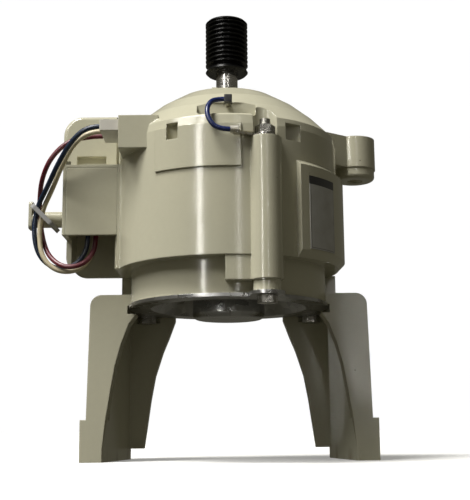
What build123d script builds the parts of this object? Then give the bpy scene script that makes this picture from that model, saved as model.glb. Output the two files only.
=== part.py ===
"""Brushless washing machine drive motor, shaft up, standing on the two legs of its moulded housing.

Millimetres. Z runs up the shaft from the plane of the feet, X to the right and Y away from the
viewer, with the cable box on the left and the legs and ears behind the shaft. Everything stands still
but the rotor, which turns with its shaft, pulley and the inner rings of both bearings, while each set
of balls follows at its own rate.
"""

from build123d import *
import math
import os

os.makedirs("parts", exist_ok=True)

# Clearances shared by the whole motor
overrun = 1.0
seat_gap = 0.03
air_gap = 0.6
part_gap = 0.3

# Ball bearings, both the same size
bearing_bore = 12.0
bearing_outer = 32.0
bearing_width = 10.0
race_land = 1.85
ball_diameter = 5.95
ball_count = 7
ball_gap = 0.1
cage_gap = 0.15
cage_thickness = 1.6
cage_edge = 0.5

# Rotor
rotor_radius = 25.0
rotor_length = 44.0
magnet_count = 8
magnet_depth = 5.0
magnet_gap_angle = 4.0
end_ring_height = 2.0

# Stator
stator_radius = 44.0
stack_height = 40.0
stack_lift = 21.4
tooth_count = 12
tooth_width = 7.0
yoke_width = 6.0
shoe_width = 10.4
shoe_depth = 2.6
insulator_thickness = 2.4
insulator_rim = 1.4
coil_build = 2.8
coil_overhang = 4.3
coil_round = 1.6
board_rise = 3.0
board_thickness = 1.6
board_edge = 1.0
peg_diameter = 3.0
peg_angles = (15.0, 105.0, 195.0, 285.0)
sensor_size = (4.0, 1.6, 3.0)
sensor_angles = (75.0, 90.0, 105.0)

# Heights of the housing, stacked from the feet up
leg_height = 74.6
ring_height = 16.4
drum_head = 20.0
dome_height = 27.5
collar_height = 5.5

# Round parts of the housing
ring_wall = 3.5
drum_wall = 10.2
block_step = 3.1
block_height = 46.0
block_chamfer = 3.2
block_angles = (-54.0, 24.0)
pad_step = 0.8
pad_height = 20.0
pad_angles = (-127.0, -83.0)
low_pad_inset = 0.5
low_pad_angles = (-91.0, -64.0)
collar_radius = 23.0
collar_wall = 3.2
collar_cut = 2.4
collar_cut_angles = ((-140.0, -103.0), (-80.0, -20.0))
tongue_width = 2.6
tongue_length = 9.0
tongue_x = -5.8
tongue_step = 0.7
nut_room = 5.8
hub_radius = 10.5
hub_cover = 8.5
dome_shares = ((0.06, 0.98), (0.22, 0.87), (0.42, 0.73), (0.58, 0.58), (0.70, 0.47), (0.98, 0.15))
arc_wall_radius = 42.0
arc_wall_thickness = 4.0
arc_wall_drop = 8.0
arc_wall_angles = (5.0, 62.0)
ceiling_gap = 1.0
seat_wall = 4.4
stack_step = 1.6
ceiling_shares = ((0.26, 0.44), (1.0, 1.0))
ceiling_rise = 17.0
shaft_play = 1.5
ring_room_width = 2.6
ring_room_height = 1.6

# Pocket on the front of the dome, and the notches in its shoulder
pocket_width = 27.0
pocket_height = 7.5
pocket_lift = 5.0
pocket_back = 44.5
pocket_round = 2.0
notch_height = 8.0
left_notch_width = 5.2
left_notch_x = -24.8
left_notch_back = 44.5
right_notch_width = 7.0
right_notch_x = 30.5
right_notch_back = 41.0
notch_rise = 2.0

# End shield, pressed from steel sheet
shield_lip = 1.0
shield_sheet = 1.6
shield_play = 0.8
dish_radius = 38.0
dish_rise = 8.0
dish_slope = 3.0
cup_drop = 5.2
cup_round = 2.6
washer_ring_height = 1.3
wave_width = 2.6
lobe_radius = 8.0

# Through-bolts
bolt_diameter = 5.0
bolt_play = 0.25
front_bolt_wall = 9.4
front_bolt_angle = -70.9
back_bolt_wall = 10.8
back_bolt_angle = 38.3
boss_radius = 7.4
boss_height = 70.0
stub_radius = 6.2
stub_height = 5.2
nut_width = 8.0
nut_height = 4.0
nut_chamfer = 0.5
head_width = 8.0
head_height = 3.5
bolt_end = 2.8
slot_width = 1.0
slot_depth = 1.4
lock_washer_width = 1.7
washer_height = 1.1
washer_split = 0.8
terminal_sheet = 0.8

# Shaft and pulley
shaft_core = 15.0
shaft_end = 11.0
shaft_tail = 0.3
shaft_bevel = 0.6
groove_depth = 0.5
snap_ring_height = 1.0
snap_ring_width = 2.6
snap_ring_split = 3.0
pulley_diameter = 21.6
pulley_lift = 15.0
pulley_band = 3.4
pulley_rim = 1.2
pulley_round = 1.0
rib_pitch = 2.34
rib_count = 10
rib_depth = 1.5
rib_shares = ((0.08, 0.0), (0.42, 1.0), (0.58, 1.0), (0.92, 0.0))
shaft_drop = 1.5

# Legs, left and right alike
leg_front = -4.0
leg_back = 46.0
foot_reach = 71.4
foot_height = 20.0
foot_step = 2.6
foot_width = 19.4
web_start = 12.9
leg_top_lift = 5.4
leg_taper = 1.6
leg_drop = 3.0
fin_depth = 12.0
fin_lift = 5.5
web_wall = 5.0
side_wall = 4.0
back_fin = 6.0
leg_round = 5.5
neck_depth = 20.0
neck_inset = 6.0
neck_step = 0.5
neck_wall = 25.0
fin_shares = ((0.85, 0.0), (0.83, 0.21), (0.80, 0.42), (0.77, 0.61), (0.73, 0.77), (0.68, 0.91), (0.62, 1.0))
back_fin_shares = (
    (0.626, 0.0), (0.605, 0.16), (0.578, 0.37), (0.546, 0.56), (0.49, 0.75), (0.448, 0.86), (0.40, 1.0),
)

# Ears
ear_bore = 8.0
ear_radius = 11.0
ear_root = 38.0
ear_edge = 2.0
right_ear_place = (66.8, 25.0)
right_ear_height = 22.0
right_ear_lift = 68.4
right_ear_shares = ((0.0, -1.0), (0.30, -0.78), (1.0, -0.24), (1.0, 0.4), (0.0, 0.4))
right_ear_length = 28.8
right_ear_depth = 27.0
right_boss_inset = 0.6
left_ear_place = (-70.0, 22.0)
left_ear_height = 24.0
left_ear_lift = 76.4
left_ear_reach = 14.5
left_ear_depth = 24.0
left_ear_length = 27.5
left_ear_round = 10.0
left_ear_notch = (15.0, 3.0, 5.0)
left_ear_step = 4.0

# Cable box on the left
box_left = -80.2
box_right = -46.0
box_front = -14.0
box_back = 18.0
box_bottom_lift = 16.9
box_top_lift = 68.4
box_wall = 2.6
box_lining = 0.4
box_corner = 8.0
wall_setback = 14.0
shelf_drop = 25.6
cover_thickness = 2.2
cover_play = 0.05
cover_ledge = 1.0
cover_drop = 9.4
grommet_place = (-67.0, -2.8)
grommet_neck = 9.0
grommet_flange = 13.0
grommet_flange_height = 2.0
grommet_play = 0.3
lead_insert = 1.6

# Pin for the cable tie, on the left of the box
pin_diameter = 8.0
pin_length = 17.5
pin_head = 1.7
pin_head_width = 8.0
pin_head_drop = 5.0
pin_head_rise = 8.9
pin_y = 3.5
pin_lift = 44.6
pin_spigot_diameter = 4.6
pin_spigot_length = 2.0
tie_width = 2.2
tie_thickness = 0.9
tie_x = -91.0
tie_front = -8.25
tie_reach = 6.9
tie_round = 1.5
tie_head = (3.6, 2.4, 3.2)

# Connector socket on the left shoulder, its plug and its terminal pins
socket_left = -50.5
socket_length = 18.6
socket_front = -39.6
socket_bottom_lift = 69.4
socket_height = 15.7
socket_wall = 1.3
socket_floor = 2.0
socket_depth = 6.5
plug_reach = 9.0
plug_height = 5.2
plug_edge = 0.65
plug_play = 0.2
plug_bevel = 0.4
pole_pitch = 3.96
pole_count = 5
pole_size = 0.9
pole_sunk = 3.0
pole_cavity = 5.5

# Leads, each a list of points that its middle line turns at
lead_diameter = 2.4
lead_play = 0.05
blue_route = (
    (-58.0, -35.47, 155.6), (-65.5, -35.47, 155.6), (-73.5, -32.0, 149.6), (-81.0, -24.5, 140.5),
    (-88.0, -14.0, 131.2), (-94.6, -5.4, 123.0), (-95.8, -4.6, 109.5), (-93.0, -2.4, 98.8),
    (-84.7, -1.5, 92.9), (-75.5, -2.2, 94.6), (-69.6, -3.6, 101.5), (-68.9, -3.8, 111.0),
    (-68.9, -3.8, 117.0),
)
white_route = (
    (-58.0, -27.55, 155.6), (-65.0, -27.55, 155.6), (-73.0, -25.6, 150.9), (-79.5, -20.6, 141.4),
    (-85.6, -12.0, 131.2), (-91.7, -5.4, 122.0), (-93.0, -5.4, 109.6), (-90.9, -6.6, 98.0),
    (-83.5, -6.7, 91.2), (-73.5, -6.2, 91.4), (-67.0, -2.4, 98.8), (-66.9, -1.2, 108.5),
    (-66.9, -1.2, 117.0),
)
red_route = (
    (-58.0, -19.63, 155.6), (-65.5, -19.63, 155.6), (-76.5, -21.0, 153.1), (-85.1, -19.5, 145.6),
    (-90.5, -14.0, 136.5), (-93.2, -5.0, 128.0), (-93.2, -2.0, 117.5), (-91.4, -2.0, 107.0),
    (-87.7, -4.8, 98.8), (-80.0, -9.4, 92.8), (-70.8, -9.0, 93.8), (-65.4, -5.6, 101.0),
    (-65.0, -4.0, 110.5), (-65.0, -4.0, 117.0),
)

# Earth lead on the front, its ring terminal under the front nut, and its tab and boot at the dome
earth_diameter = 2.3
earth_route = (
    (1.2, -50.2, 163.4), (-4.0, -50.2, 163.4), (-7.4, -53.2, 161.2), (-8.8, -56.4, 156.4),
    (-7.8, -58.4, 151.0), (-3.6, -58.0, 146.6), (4.6, -58.0, 146.6),
)
boot_size = (3.5, 4.6, 3.4)
boot_left = -0.9
boot_front = -52.2
blade_width = 2.4
blade_start = 1.5
blade_sunk = 3.5
ring_terminal_radius = 4.6
barrel_lift = 2.0
barrel_radius = 1.9
barrel_start = 1.8
barrel_length = 4.0
tongue_strip = 3.6
terminal_way = 2.6
terminal_play = 0.4

# Rating label, left bare
label_thickness = 0.3
label_height = 34.0
label_drop = 8.0
label_angles = (-49.0, -30.0)


def front_plane(y):
    """Plane facing the viewer at depth y, with its x along X and its y along Z."""
    return Plane.XZ.offset(-y)


def polar(radius, degrees):
    """Point at a radius and an angle about the shaft."""
    return (radius * math.cos(math.radians(degrees)), radius * math.sin(math.radians(degrees)))


def radial_plane(degrees):
    """Upright plane through the shaft's axis, with its x pointing outward at an angle."""
    outward = polar(1, degrees)
    return Plane(origin=(0, 0, 0), x_dir=(*outward, 0), z_dir=(outward[1], -outward[0], 0))


def facing_plane(radius, degrees, z):
    """Upright plane that faces outward at a radius and an angle, with its y along Z."""
    outward = polar(1, degrees)
    across = (-outward[1], outward[0], 0)
    return Plane(origin=(*polar(radius, degrees), z), x_dir=across, z_dir=(*outward, 0))


def sector(inner, outer, start, stop):
    """Draws the flat ring sector between two radii and two angles in the running line."""
    middle = (start + stop) / 2
    outside = ThreePointArc(polar(outer, start), polar(outer, middle), polar(outer, stop))
    Line(outside @ 1, polar(inner, stop))
    inside = ThreePointArc(polar(inner, stop), polar(inner, middle), polar(inner, start))
    Line(inside @ 1, outside @ 0)


def oblong(left, right, front, back):
    """Draws a rectangle from its four sides in the running line."""
    Polyline((left, front), (right, front), (right, back), (left, back), close=True)


def turned(points, mode=Mode.ADD):
    """Turns a closed outline of radius and height about the shaft in the running part."""
    with BuildSketch(Plane.XZ) as profile:
        with BuildLine():
            Polyline(*points, close=True)
        make_face()
    revolve(profile.sketch, axis=Axis.Z, mode=mode)


def bend_radii(points):
    """Radius at each inner point of a route, from the shorter of its two runs and half the turn there."""
    vectors = [Vector(*b) - Vector(*a) for a, b in zip(points, points[1:])]
    radii = []
    for before, after in zip(vectors, vectors[1:]):
        half_turn = math.radians(before.get_angle(after)) / 2
        radii.append(run_share * min(before.length, after.length) / math.tan(half_turn))
    return radii


def swept_cord(points, diameter):
    """Sweeps a round section along straight runs joined by arcs, in the running part."""
    with BuildLine() as route:
        FilletPolyline(*points, radius=bend_radii(points))
    middle_line = route.wire()
    with BuildSketch(Plane(origin=middle_line @ 0, z_dir=middle_line % 0)) as section:
        Circle(diameter / 2)
    sweep(section.sketch, path=middle_line)
    return middle_line


run_share = 0.45

# Places worked out from the sizes above
seat_z = leg_height
drum_z = seat_z + ring_height
shoulder_z = drum_z + stack_height + drum_head
collar_z = shoulder_z + dome_height
collar_floor_z = collar_z - collar_height
core_room = stator_radius + seat_gap
stack_z = seat_z + stack_lift
stack_top_z = stack_z + stack_height
stack_middle_z = stack_z + stack_height / 2
ring_radius = stator_radius + ring_wall
drum_radius = stator_radius + drum_wall
block_radius = drum_radius + block_step
pad_radius = drum_radius + pad_step
front_bolt = polar(core_room + front_bolt_wall, front_bolt_angle)
back_bolt = polar(core_room + back_bolt_wall, back_bolt_angle)
bolt_places = (front_bolt, back_bolt, (-back_bolt[0], back_bolt[1]))
bolt_hole = bolt_diameter / 2 + bolt_play
boss_top_z = seat_z + boss_height
bearing_top_z = collar_z - hub_cover
bearing_seat_z = bearing_top_z - bearing_width
seat_radius = bearing_outer / 2 + seat_gap
shaft_way = shaft_end / 2 + shaft_play
shield_radius = ring_radius + shield_lip
flange_z = seat_z - shield_sheet
dish_z = flange_z + dish_rise
cup_z = flange_z - cup_drop
lower_bearing_z = cup_z + shield_sheet + washer_ring_height
box_bottom_z = seat_z + box_bottom_lift
box_top_z = seat_z + box_top_lift
box_in_left = box_left + box_wall
box_in_right = -(drum_radius + box_lining)
shelf_z = box_top_z - shelf_drop
cover_bottom_z = shelf_z - cover_drop
pin_z = seat_z + pin_lift
socket_right = socket_left + socket_length
socket_bottom_z = seat_z + socket_bottom_lift
socket_top_z = socket_bottom_z + socket_height
plug_width = pole_count * pole_pitch + 2 * plug_edge
plug_front = socket_front + socket_wall + plug_play
plug_back = plug_front + plug_width
plug_left = socket_left - plug_reach
plug_top_z = socket_top_z - socket_wall - plug_play
plug_z = plug_top_z - plug_height / 2
socket_back = plug_back + plug_play + socket_wall
pole_rows = [plug_front + plug_edge + (k + 1 / 2) * pole_pitch for k in range(0, pole_count, 2)]
barrel_end = barrel_start + barrel_length
barrel_y = earth_route[-1][1]
barrel_z = boss_top_z + barrel_lift
strip_length = math.dist(front_bolt, (barrel_end - barrel_radius, barrel_y))
strip_angle = math.degrees(math.atan2(front_bolt[1] - barrel_y, front_bolt[0] - barrel_end + barrel_radius))
strip_middle = ((front_bolt[0] + barrel_end - barrel_radius) / 2, (front_bolt[1] + barrel_y) / 2)
left_ear_z = seat_z + left_ear_lift
right_ear_z = seat_z + right_ear_lift
upper_room = core_room - stack_step
ceiling_z = shoulder_z + ceiling_gap

# Right ear, swept back, over its bore
with BuildPart() as right_ear:
    ear_points = [
        (ear_root + x * right_ear_length, right_ear_place[1] + y * right_ear_depth)
        for x, y in right_ear_shares
    ]
    with BuildSketch(Plane.XY.offset(right_ear_z + ear_radius / 2)):
        with BuildLine():
            Polyline(*ear_points, close=True)
        make_face()
        with Locations(right_ear_place):
            Circle(ear_radius)
    extrude(amount=right_ear_height - ear_radius / 2)
    with BuildSketch(Plane.XY.offset(right_ear_z)):
        with Locations(right_ear_place):
            Circle(ear_radius - right_boss_inset)
    extrude(amount=right_ear_height / 2)
    fillet(right_ear.faces().sort_by(Axis.Z)[0].edges(), radius=ear_edge)

# Left ear, high on the shoulder, rounded at its top corner
with BuildPart() as left_ear:
    ear_left = left_ear_place[0] - left_ear_reach
    ear_front = left_ear_place[1] - left_ear_depth / 2 - overrun
    ear_right = ear_left + left_ear_length
    ear_top_z = left_ear_z + left_ear_height
    with BuildSketch(front_plane(ear_front + left_ear_depth)) as left_ear_face:
        with BuildLine():
            oblong(ear_left, ear_right, left_ear_z, ear_top_z)
        make_face()
        fillet(left_ear_face.vertices().group_by(Axis.X)[0].sort_by(Axis.Y)[-1], radius=left_ear_round)
    extrude(amount=left_ear_depth)
    fillet(left_ear.edges().filter_by(Axis.Z).group_by(Axis.X)[0], radius=ear_edge)
    with BuildSketch(Plane.XY.offset(left_ear_z)):
        with BuildLine():
            oblong(ear_right - overrun, -ear_root, ear_front + left_ear_step, ear_front + left_ear_depth)
        make_face()
    extrude(amount=left_ear_height - left_ear_step)
    # Web down to the cable box
    with BuildSketch(Plane.XY.offset(box_top_z - overrun)):
        with BuildLine():
            oblong(ear_left + left_ear_step, ear_right, ear_front, box_back)
        make_face()
    extrude(amount=left_ear_z - box_top_z + 2 * overrun)
    # Notch low in its front face
    with BuildSketch(front_plane(ear_front + left_ear_notch[1])):
        with BuildLine():
            notch_left = ear_left + left_ear_reach / 2
            oblong(notch_left, notch_left + left_ear_notch[0], box_top_z, left_ear_z + left_ear_notch[2] / 2)
        make_face()
    extrude(amount=left_ear_notch[1] + overrun, mode=Mode.SUBTRACT)

# Stator housing: one moulding with drum, dome, boss, ears, legs, cable box and connector socket
dome_width = drum_radius - collar_radius
dome_points = [(collar_radius + r * dome_width, shoulder_z + h * dome_height) for r, h in dome_shares]
with BuildPart() as stator_housing:
    # Drum, dome, collar and hub turned about the shaft
    outline = [(0, seat_z), (ring_radius, seat_z), (ring_radius, drum_z), (drum_radius, drum_z)]
    outline += [(drum_radius, shoulder_z)] + dome_points[::-1]
    outline += [(collar_radius, collar_z), (collar_radius - collar_wall, collar_z)]
    outline += [(collar_radius - collar_wall, collar_floor_z), (hub_radius, collar_floor_z)]
    outline += [(hub_radius, collar_z), (0, collar_z)]
    turned(outline)
    # Lower steps cut in the collar, and the tongue between them
    for start, stop in collar_cut_angles:
        with BuildSketch(Plane.XY.offset(collar_z - collar_cut)):
            with BuildLine():
                sector(hub_radius + collar_wall, collar_radius + overrun, start, stop)
            make_face()
        extrude(amount=collar_cut + overrun, mode=Mode.SUBTRACT)
    with BuildSketch(Plane.XY.offset(collar_floor_z)):
        with BuildLine():
            tongue_front = -collar_radius - tongue_step
            tongue_left = tongue_x - tongue_width / 2
            oblong(tongue_left, tongue_left + tongue_width, tongue_front, tongue_front + tongue_length)
        make_face()
    extrude(amount=collar_height)
    # Raised wall on the right rear of the dome
    arc_wall_top_z = collar_z - arc_wall_drop
    with BuildSketch(Plane.XY.offset(shoulder_z)):
        with BuildLine():
            sector(arc_wall_radius - arc_wall_thickness, arc_wall_radius, *arc_wall_angles)
        make_face()
    extrude(amount=arc_wall_top_z - shoulder_z)
    # Thicker wall on the right that carries the label
    with BuildSketch(radial_plane(block_angles[0])):
        with BuildLine():
            block_inner = drum_radius - overrun
            block_top_z = drum_z + block_height
            Polyline(
                (block_inner, drum_z), (block_radius - block_chamfer, drum_z),
                (block_radius, drum_z + block_chamfer), (block_radius, block_top_z - block_step),
                (block_inner, block_top_z), close=True,
            )
        make_face()
    revolve(axis=Axis.Z, revolution_arc=block_angles[1] - block_angles[0])
    # Raised pad on the front, and the low pad beside the front boss
    with BuildSketch(Plane.XY.offset(shoulder_z - pad_height)):
        with BuildLine():
            sector(drum_radius - overrun, pad_radius, *pad_angles)
        make_face()
    extrude(amount=pad_height)
    with BuildSketch(Plane.XY.offset(seat_z + stub_height)):
        with BuildLine():
            sector(ring_radius - overrun, drum_radius - low_pad_inset, *low_pad_angles)
        make_face()
    extrude(amount=ring_height - stub_height + low_pad_inset)
    # Bolt bosses on their narrower stubs
    with BuildSketch(Plane.XY.offset(seat_z + stub_height)):
        with Locations(*bolt_places):
            Circle(boss_radius)
    extrude(amount=boss_height - stub_height)
    with BuildSketch(Plane.XY.offset(seat_z)):
        with Locations(*bolt_places):
            Circle(stub_radius)
    extrude(amount=stub_height)
    # Cable box, with its lower left corner rounded off
    with BuildSketch(front_plane(box_back)) as box_face:
        with BuildLine():
            oblong(box_left, box_right, box_bottom_z, box_top_z)
        make_face()
        fillet(box_face.vertices().group_by(Axis.X)[0].sort_by(Axis.Y)[0], radius=box_corner)
    extrude(amount=box_back - box_front)
    # Connector socket
    with BuildSketch(Plane.XY.offset(socket_bottom_z)):
        with BuildLine():
            oblong(socket_left, socket_right, socket_front, socket_back)
        make_face()
    extrude(amount=socket_height)
    # Ears
    add(right_ear.part)
    add(left_ear.part)
    # Legs: front fin, slanted web, back fin, side wall with its top, foot block, and the neck up to the drum
    leg_top_z = seat_z + leg_top_lift
    fin_top_z = seat_z - leg_drop
    foot_outer = foot_reach - foot_step
    leg_outer = foot_outer - leg_taper
    foot_inner = foot_reach - foot_width
    web_front = (foot_reach - web_start, leg_front + fin_depth - overrun)
    web_back = (foot_inner, leg_back - back_fin + overrun)
    for side in (-1, 1):
        fin_points = [(foot_reach * x, fin_lift + z * (fin_top_z - fin_lift)) for x, z in fin_shares]
        with BuildSketch(front_plane(leg_front + fin_depth)) as fin_face:
            with BuildLine():
                points = fin_points + [(ring_radius - side_wall, fin_top_z)]
                points += [(ring_radius - side_wall, leg_top_z), (leg_outer, leg_top_z)]
                points += [(foot_outer, fin_lift)]
                Polyline(*[(side * x, z) for x, z in points], close=True)
            make_face()
            fillet(fin_face.vertices().sort_by_distance((side * leg_outer, leg_top_z))[0], radius=leg_round)
        extrude(amount=fin_depth)
        back_points = [(foot_reach * x, fin_lift + z * (fin_top_z - fin_lift)) for x, z in back_fin_shares]
        with BuildSketch(front_plane(leg_back)):
            with BuildLine():
                points = back_points + [(back_points[-1][0], leg_top_z)]
                points += [(foot_inner + web_wall, leg_top_z), (foot_inner + web_wall, fin_lift)]
                Polyline(*[(side * x, z) for x, z in points], close=True)
            make_face()
        extrude(amount=back_fin)
        with BuildSketch(Plane.XY):
            with BuildLine():
                points = [web_front, web_back, (web_back[0] + web_wall, web_back[1])]
                points += [(web_front[0] + web_wall, web_front[1])]
                Polyline(*[(side * x, y) for x, y in points], close=True)
            make_face()
        extrude(amount=leg_top_z - side_wall / 2)
        with BuildSketch(front_plane(leg_back)) as side_face:
            with BuildLine():
                points = [(foot_outer, 0), (leg_outer, leg_top_z), (ring_radius - side_wall, leg_top_z)]
                points += [(ring_radius - side_wall, leg_top_z - side_wall)]
                points += [(leg_outer - side_wall, leg_top_z - side_wall), (foot_outer - side_wall, 0)]
                Polyline(*[(side * x, z) for x, z in points], close=True)
            make_face()
            fillet(side_face.vertices().sort_by_distance((side * leg_outer, leg_top_z))[0], radius=leg_round)
        extrude(amount=leg_back - leg_front)
        with BuildSketch(Plane.XY):
            with BuildLine():
                points = [(foot_reach, leg_front), (foot_reach * fin_shares[0][0], leg_front)]
                points += [web_front, web_back, (web_back[0], leg_back), (foot_reach, leg_back)]
                Polyline(*[(side * x, y) for x, y in points], close=True)
            make_face()
        extrude(amount=foot_height)
        neck_front = leg_back - neck_inset - neck_depth
        neck_reach = drum_radius + neck_step
        with BuildSketch(Plane.XY.offset(leg_top_z - side_wall)):
            with BuildLine():
                neck_back = neck_front + neck_depth
                points = [(neck_reach - neck_wall, neck_front), (neck_reach, neck_front)]
                points += [(neck_reach, neck_back), (neck_reach - neck_wall, neck_back)]
                Polyline(*[(side * x, y) for x, y in points], close=True)
            make_face()
        extrude(amount=drum_z - leg_top_z + side_wall + overrun)
    # Room for the end shield under its seat
    with BuildSketch(Plane.XY.offset(fin_top_z - overrun)):
        Circle(shield_radius + shield_play)
        with Locations(*bolt_places):
            Circle(lobe_radius + shield_play)
    extrude(amount=seat_z - fin_top_z + overrun, mode=Mode.SUBTRACT)
    # Hollow for the stator, and the upper bearing's seat
    seat_tube = seat_radius + seat_wall
    inside = [(0, seat_z - overrun), (core_room, seat_z - overrun), (core_room, stack_top_z)]
    inside += [(upper_room, stack_top_z), (upper_room, ceiling_z)]
    for x, z in ceiling_shares:
        inside += [(upper_room - x * (upper_room - seat_tube), ceiling_z + z * ceiling_rise)]
    inside += [(seat_tube, bearing_seat_z), (seat_radius, bearing_seat_z), (seat_radius, bearing_top_z)]
    inside += [(shaft_way + ring_room_width, bearing_top_z)]
    inside += [(shaft_way + ring_room_width, bearing_top_z + ring_room_height)]
    inside += [(shaft_way, bearing_top_z + ring_room_height), (shaft_way, collar_z + overrun)]
    inside += [(0, collar_z + overrun)]
    turned(inside, mode=Mode.SUBTRACT)
    # Bolt holes, and the clear space over each nut
    with BuildSketch(Plane.XY.offset(seat_z - overrun)):
        with Locations(*bolt_places):
            Circle(bolt_hole)
    extrude(amount=boss_height + 2 * overrun, mode=Mode.SUBTRACT)
    with BuildSketch(Plane.XY.offset(boss_top_z)):
        with Locations(*bolt_places):
            Circle(nut_room)
    extrude(amount=dome_height, mode=Mode.SUBTRACT)
    with BuildSketch(Plane.XY.offset(boss_top_z)):
        with Locations(Location((*strip_middle, 0), (0, 0, strip_angle))):
            Rectangle(strip_length, tongue_strip + 2 * terminal_play)
    extrude(amount=terminal_way, mode=Mode.SUBTRACT)
    # Ear bores
    with BuildSketch(Plane.XY.offset(right_ear_z - overrun)):
        with Locations(right_ear_place):
            Circle(ear_bore / 2)
    extrude(amount=right_ear_height + 2 * overrun, mode=Mode.SUBTRACT)
    with BuildSketch(Plane.XY.offset(left_ear_z - overrun)):
        with Locations(left_ear_place):
            Circle(ear_bore / 2)
    extrude(amount=left_ear_height + 2 * overrun, mode=Mode.SUBTRACT)
    # Pocket on the front of the dome, and a notch in the shoulder on each side of it
    pocket_z = shoulder_z + pocket_lift
    with BuildSketch(front_plane(-pocket_back)):
        with Locations((0, pocket_z + pocket_height / 2)):
            RectangleRounded(pocket_width, pocket_height, pocket_round)
    extrude(amount=drum_radius - pocket_back + overrun, mode=Mode.SUBTRACT)
    notch_z = shoulder_z + notch_rise - notch_height / 2
    with BuildSketch(front_plane(-left_notch_back)):
        with Locations((left_notch_x, notch_z)):
            Rectangle(left_notch_width, notch_height)
    extrude(amount=pad_radius - left_notch_back, mode=Mode.SUBTRACT)
    with BuildSketch(front_plane(-right_notch_back)):
        with Locations((right_notch_x, notch_z)):
            Rectangle(right_notch_width, notch_height)
    extrude(amount=pad_radius - right_notch_back, mode=Mode.SUBTRACT)
    # Inside of the cable box: open below, with a shelf for the grommet, and a seat for the cover
    with BuildSketch(Plane.XY.offset(box_bottom_z - overrun)):
        with BuildLine():
            oblong(box_in_left, box_in_right, box_front - overrun, box_back - box_wall)
        make_face()
    extrude(amount=shelf_z - box_bottom_z + overrun, mode=Mode.SUBTRACT)
    with BuildSketch(Plane.XY.offset(shelf_z + box_wall)):
        with BuildLine():
            oblong(box_in_left, box_in_right, box_front - overrun, box_back - box_wall)
        make_face()
    extrude(amount=box_top_z - shelf_z - 2 * box_wall, mode=Mode.SUBTRACT)
    cover_left = box_in_left - cover_ledge
    cover_right = box_in_right + cover_ledge
    cover_top_z = box_top_z - box_wall + cover_ledge
    with BuildSketch(front_plane(box_front + cover_thickness)):
        with BuildLine():
            oblong(cover_left, cover_right, box_bottom_z - overrun, cover_top_z)
        make_face()
    extrude(amount=cover_thickness + overrun, mode=Mode.SUBTRACT)
    with BuildSketch(Plane.XY.offset(box_bottom_z - overrun)):
        with BuildLine():
            oblong(box_left - overrun, box_in_left + overrun, box_front - overrun, box_front + wall_setback)
        make_face()
    extrude(amount=cover_bottom_z - box_bottom_z + overrun, mode=Mode.SUBTRACT)
    with BuildSketch(Plane.XY.offset(shelf_z - overrun)):
        with Locations(grommet_place):
            Circle(grommet_neck / 2 + grommet_play)
    extrude(amount=box_wall + 2 * overrun, mode=Mode.SUBTRACT)
    # Blind hole for the tie pin
    with BuildSketch(Plane.YZ.offset(box_left - overrun)):
        with Locations((pin_y, pin_z)):
            Circle(pin_spigot_diameter / 2 + seat_gap)
    extrude(amount=pin_spigot_length + seat_gap + overrun, mode=Mode.SUBTRACT)
    # Hollow of the connector socket, open to the left, and the holes of its pins
    with BuildSketch(Plane.XY.offset(socket_bottom_z + socket_floor)):
        with BuildLine():
            socket_end = socket_left + socket_depth
            oblong(plug_left - overrun, socket_end, plug_front - plug_play, plug_back + plug_play)
        make_face()
    extrude(amount=socket_height - socket_floor - socket_wall, mode=Mode.SUBTRACT)
    with BuildSketch(Plane.YZ.offset(socket_left + socket_depth - overrun)):
        with Locations(*[(y, plug_z) for y in pole_rows]):
            Rectangle(pole_size + 2 * seat_gap, pole_size + 2 * seat_gap)
    extrude(amount=pole_sunk + seat_gap + overrun, mode=Mode.SUBTRACT)
    # Slot of the earth blade in the back wall of the pocket
    blade_z = pocket_z + pocket_height - blade_start
    blade_x = boot_left + boot_size[0] / 2
    with BuildSketch(front_plane(blade_sunk + seat_gap - pocket_back)):
        with Locations((blade_x, blade_z)):
            Rectangle(blade_width + 2 * seat_gap, terminal_sheet + 2 * seat_gap)
    extrude(amount=blade_sunk + seat_gap + overrun, mode=Mode.SUBTRACT)
stator_housing.part.label = "stator_housing"
export_step(stator_housing.part, "parts/stator_housing.step")
print("housing", round(stator_housing.part.volume), len(stator_housing.solids()), "solid")

# Cover of the cable box, a flat panel let into its front
with BuildPart() as cable_cover:
    with BuildSketch(front_plane(box_front + cover_thickness)) as cover_face:
        with BuildLine():
            cover_edge_z = cover_top_z - cover_play
            oblong(cover_left + cover_play, cover_right - cover_play, cover_bottom_z, cover_edge_z)
        make_face()
        fillet(cover_face.vertices(), radius=cover_ledge / 2)
    extrude(amount=cover_thickness)
cable_cover.part.label = "cable_cover"
export_step(cable_cover.part, "parts/cable_cover.step")

# Grommet in the shelf of the box, with a blind hole for each lead
with BuildPart() as lead_grommet:
    with BuildSketch(Plane.XY.offset(shelf_z - grommet_flange_height)):
        with Locations(grommet_place):
            Circle(grommet_flange / 2)
    extrude(amount=grommet_flange_height)
    with BuildSketch(Plane.XY.offset(shelf_z)):
        with Locations(grommet_place):
            Circle(grommet_neck / 2)
    extrude(amount=box_wall + overrun)
    with BuildSketch(Plane.XY.offset(shelf_z - grommet_flange_height - overrun)):
        with Locations(*[route[-1][:2] for route in (blue_route, white_route, red_route)]):
            Circle(lead_diameter / 2 + lead_play)
    extrude(amount=lead_insert + lead_play + overrun, mode=Mode.SUBTRACT)
lead_grommet.part.label = "lead_grommet"
export_step(lead_grommet.part, "parts/lead_grommet.step")

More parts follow.
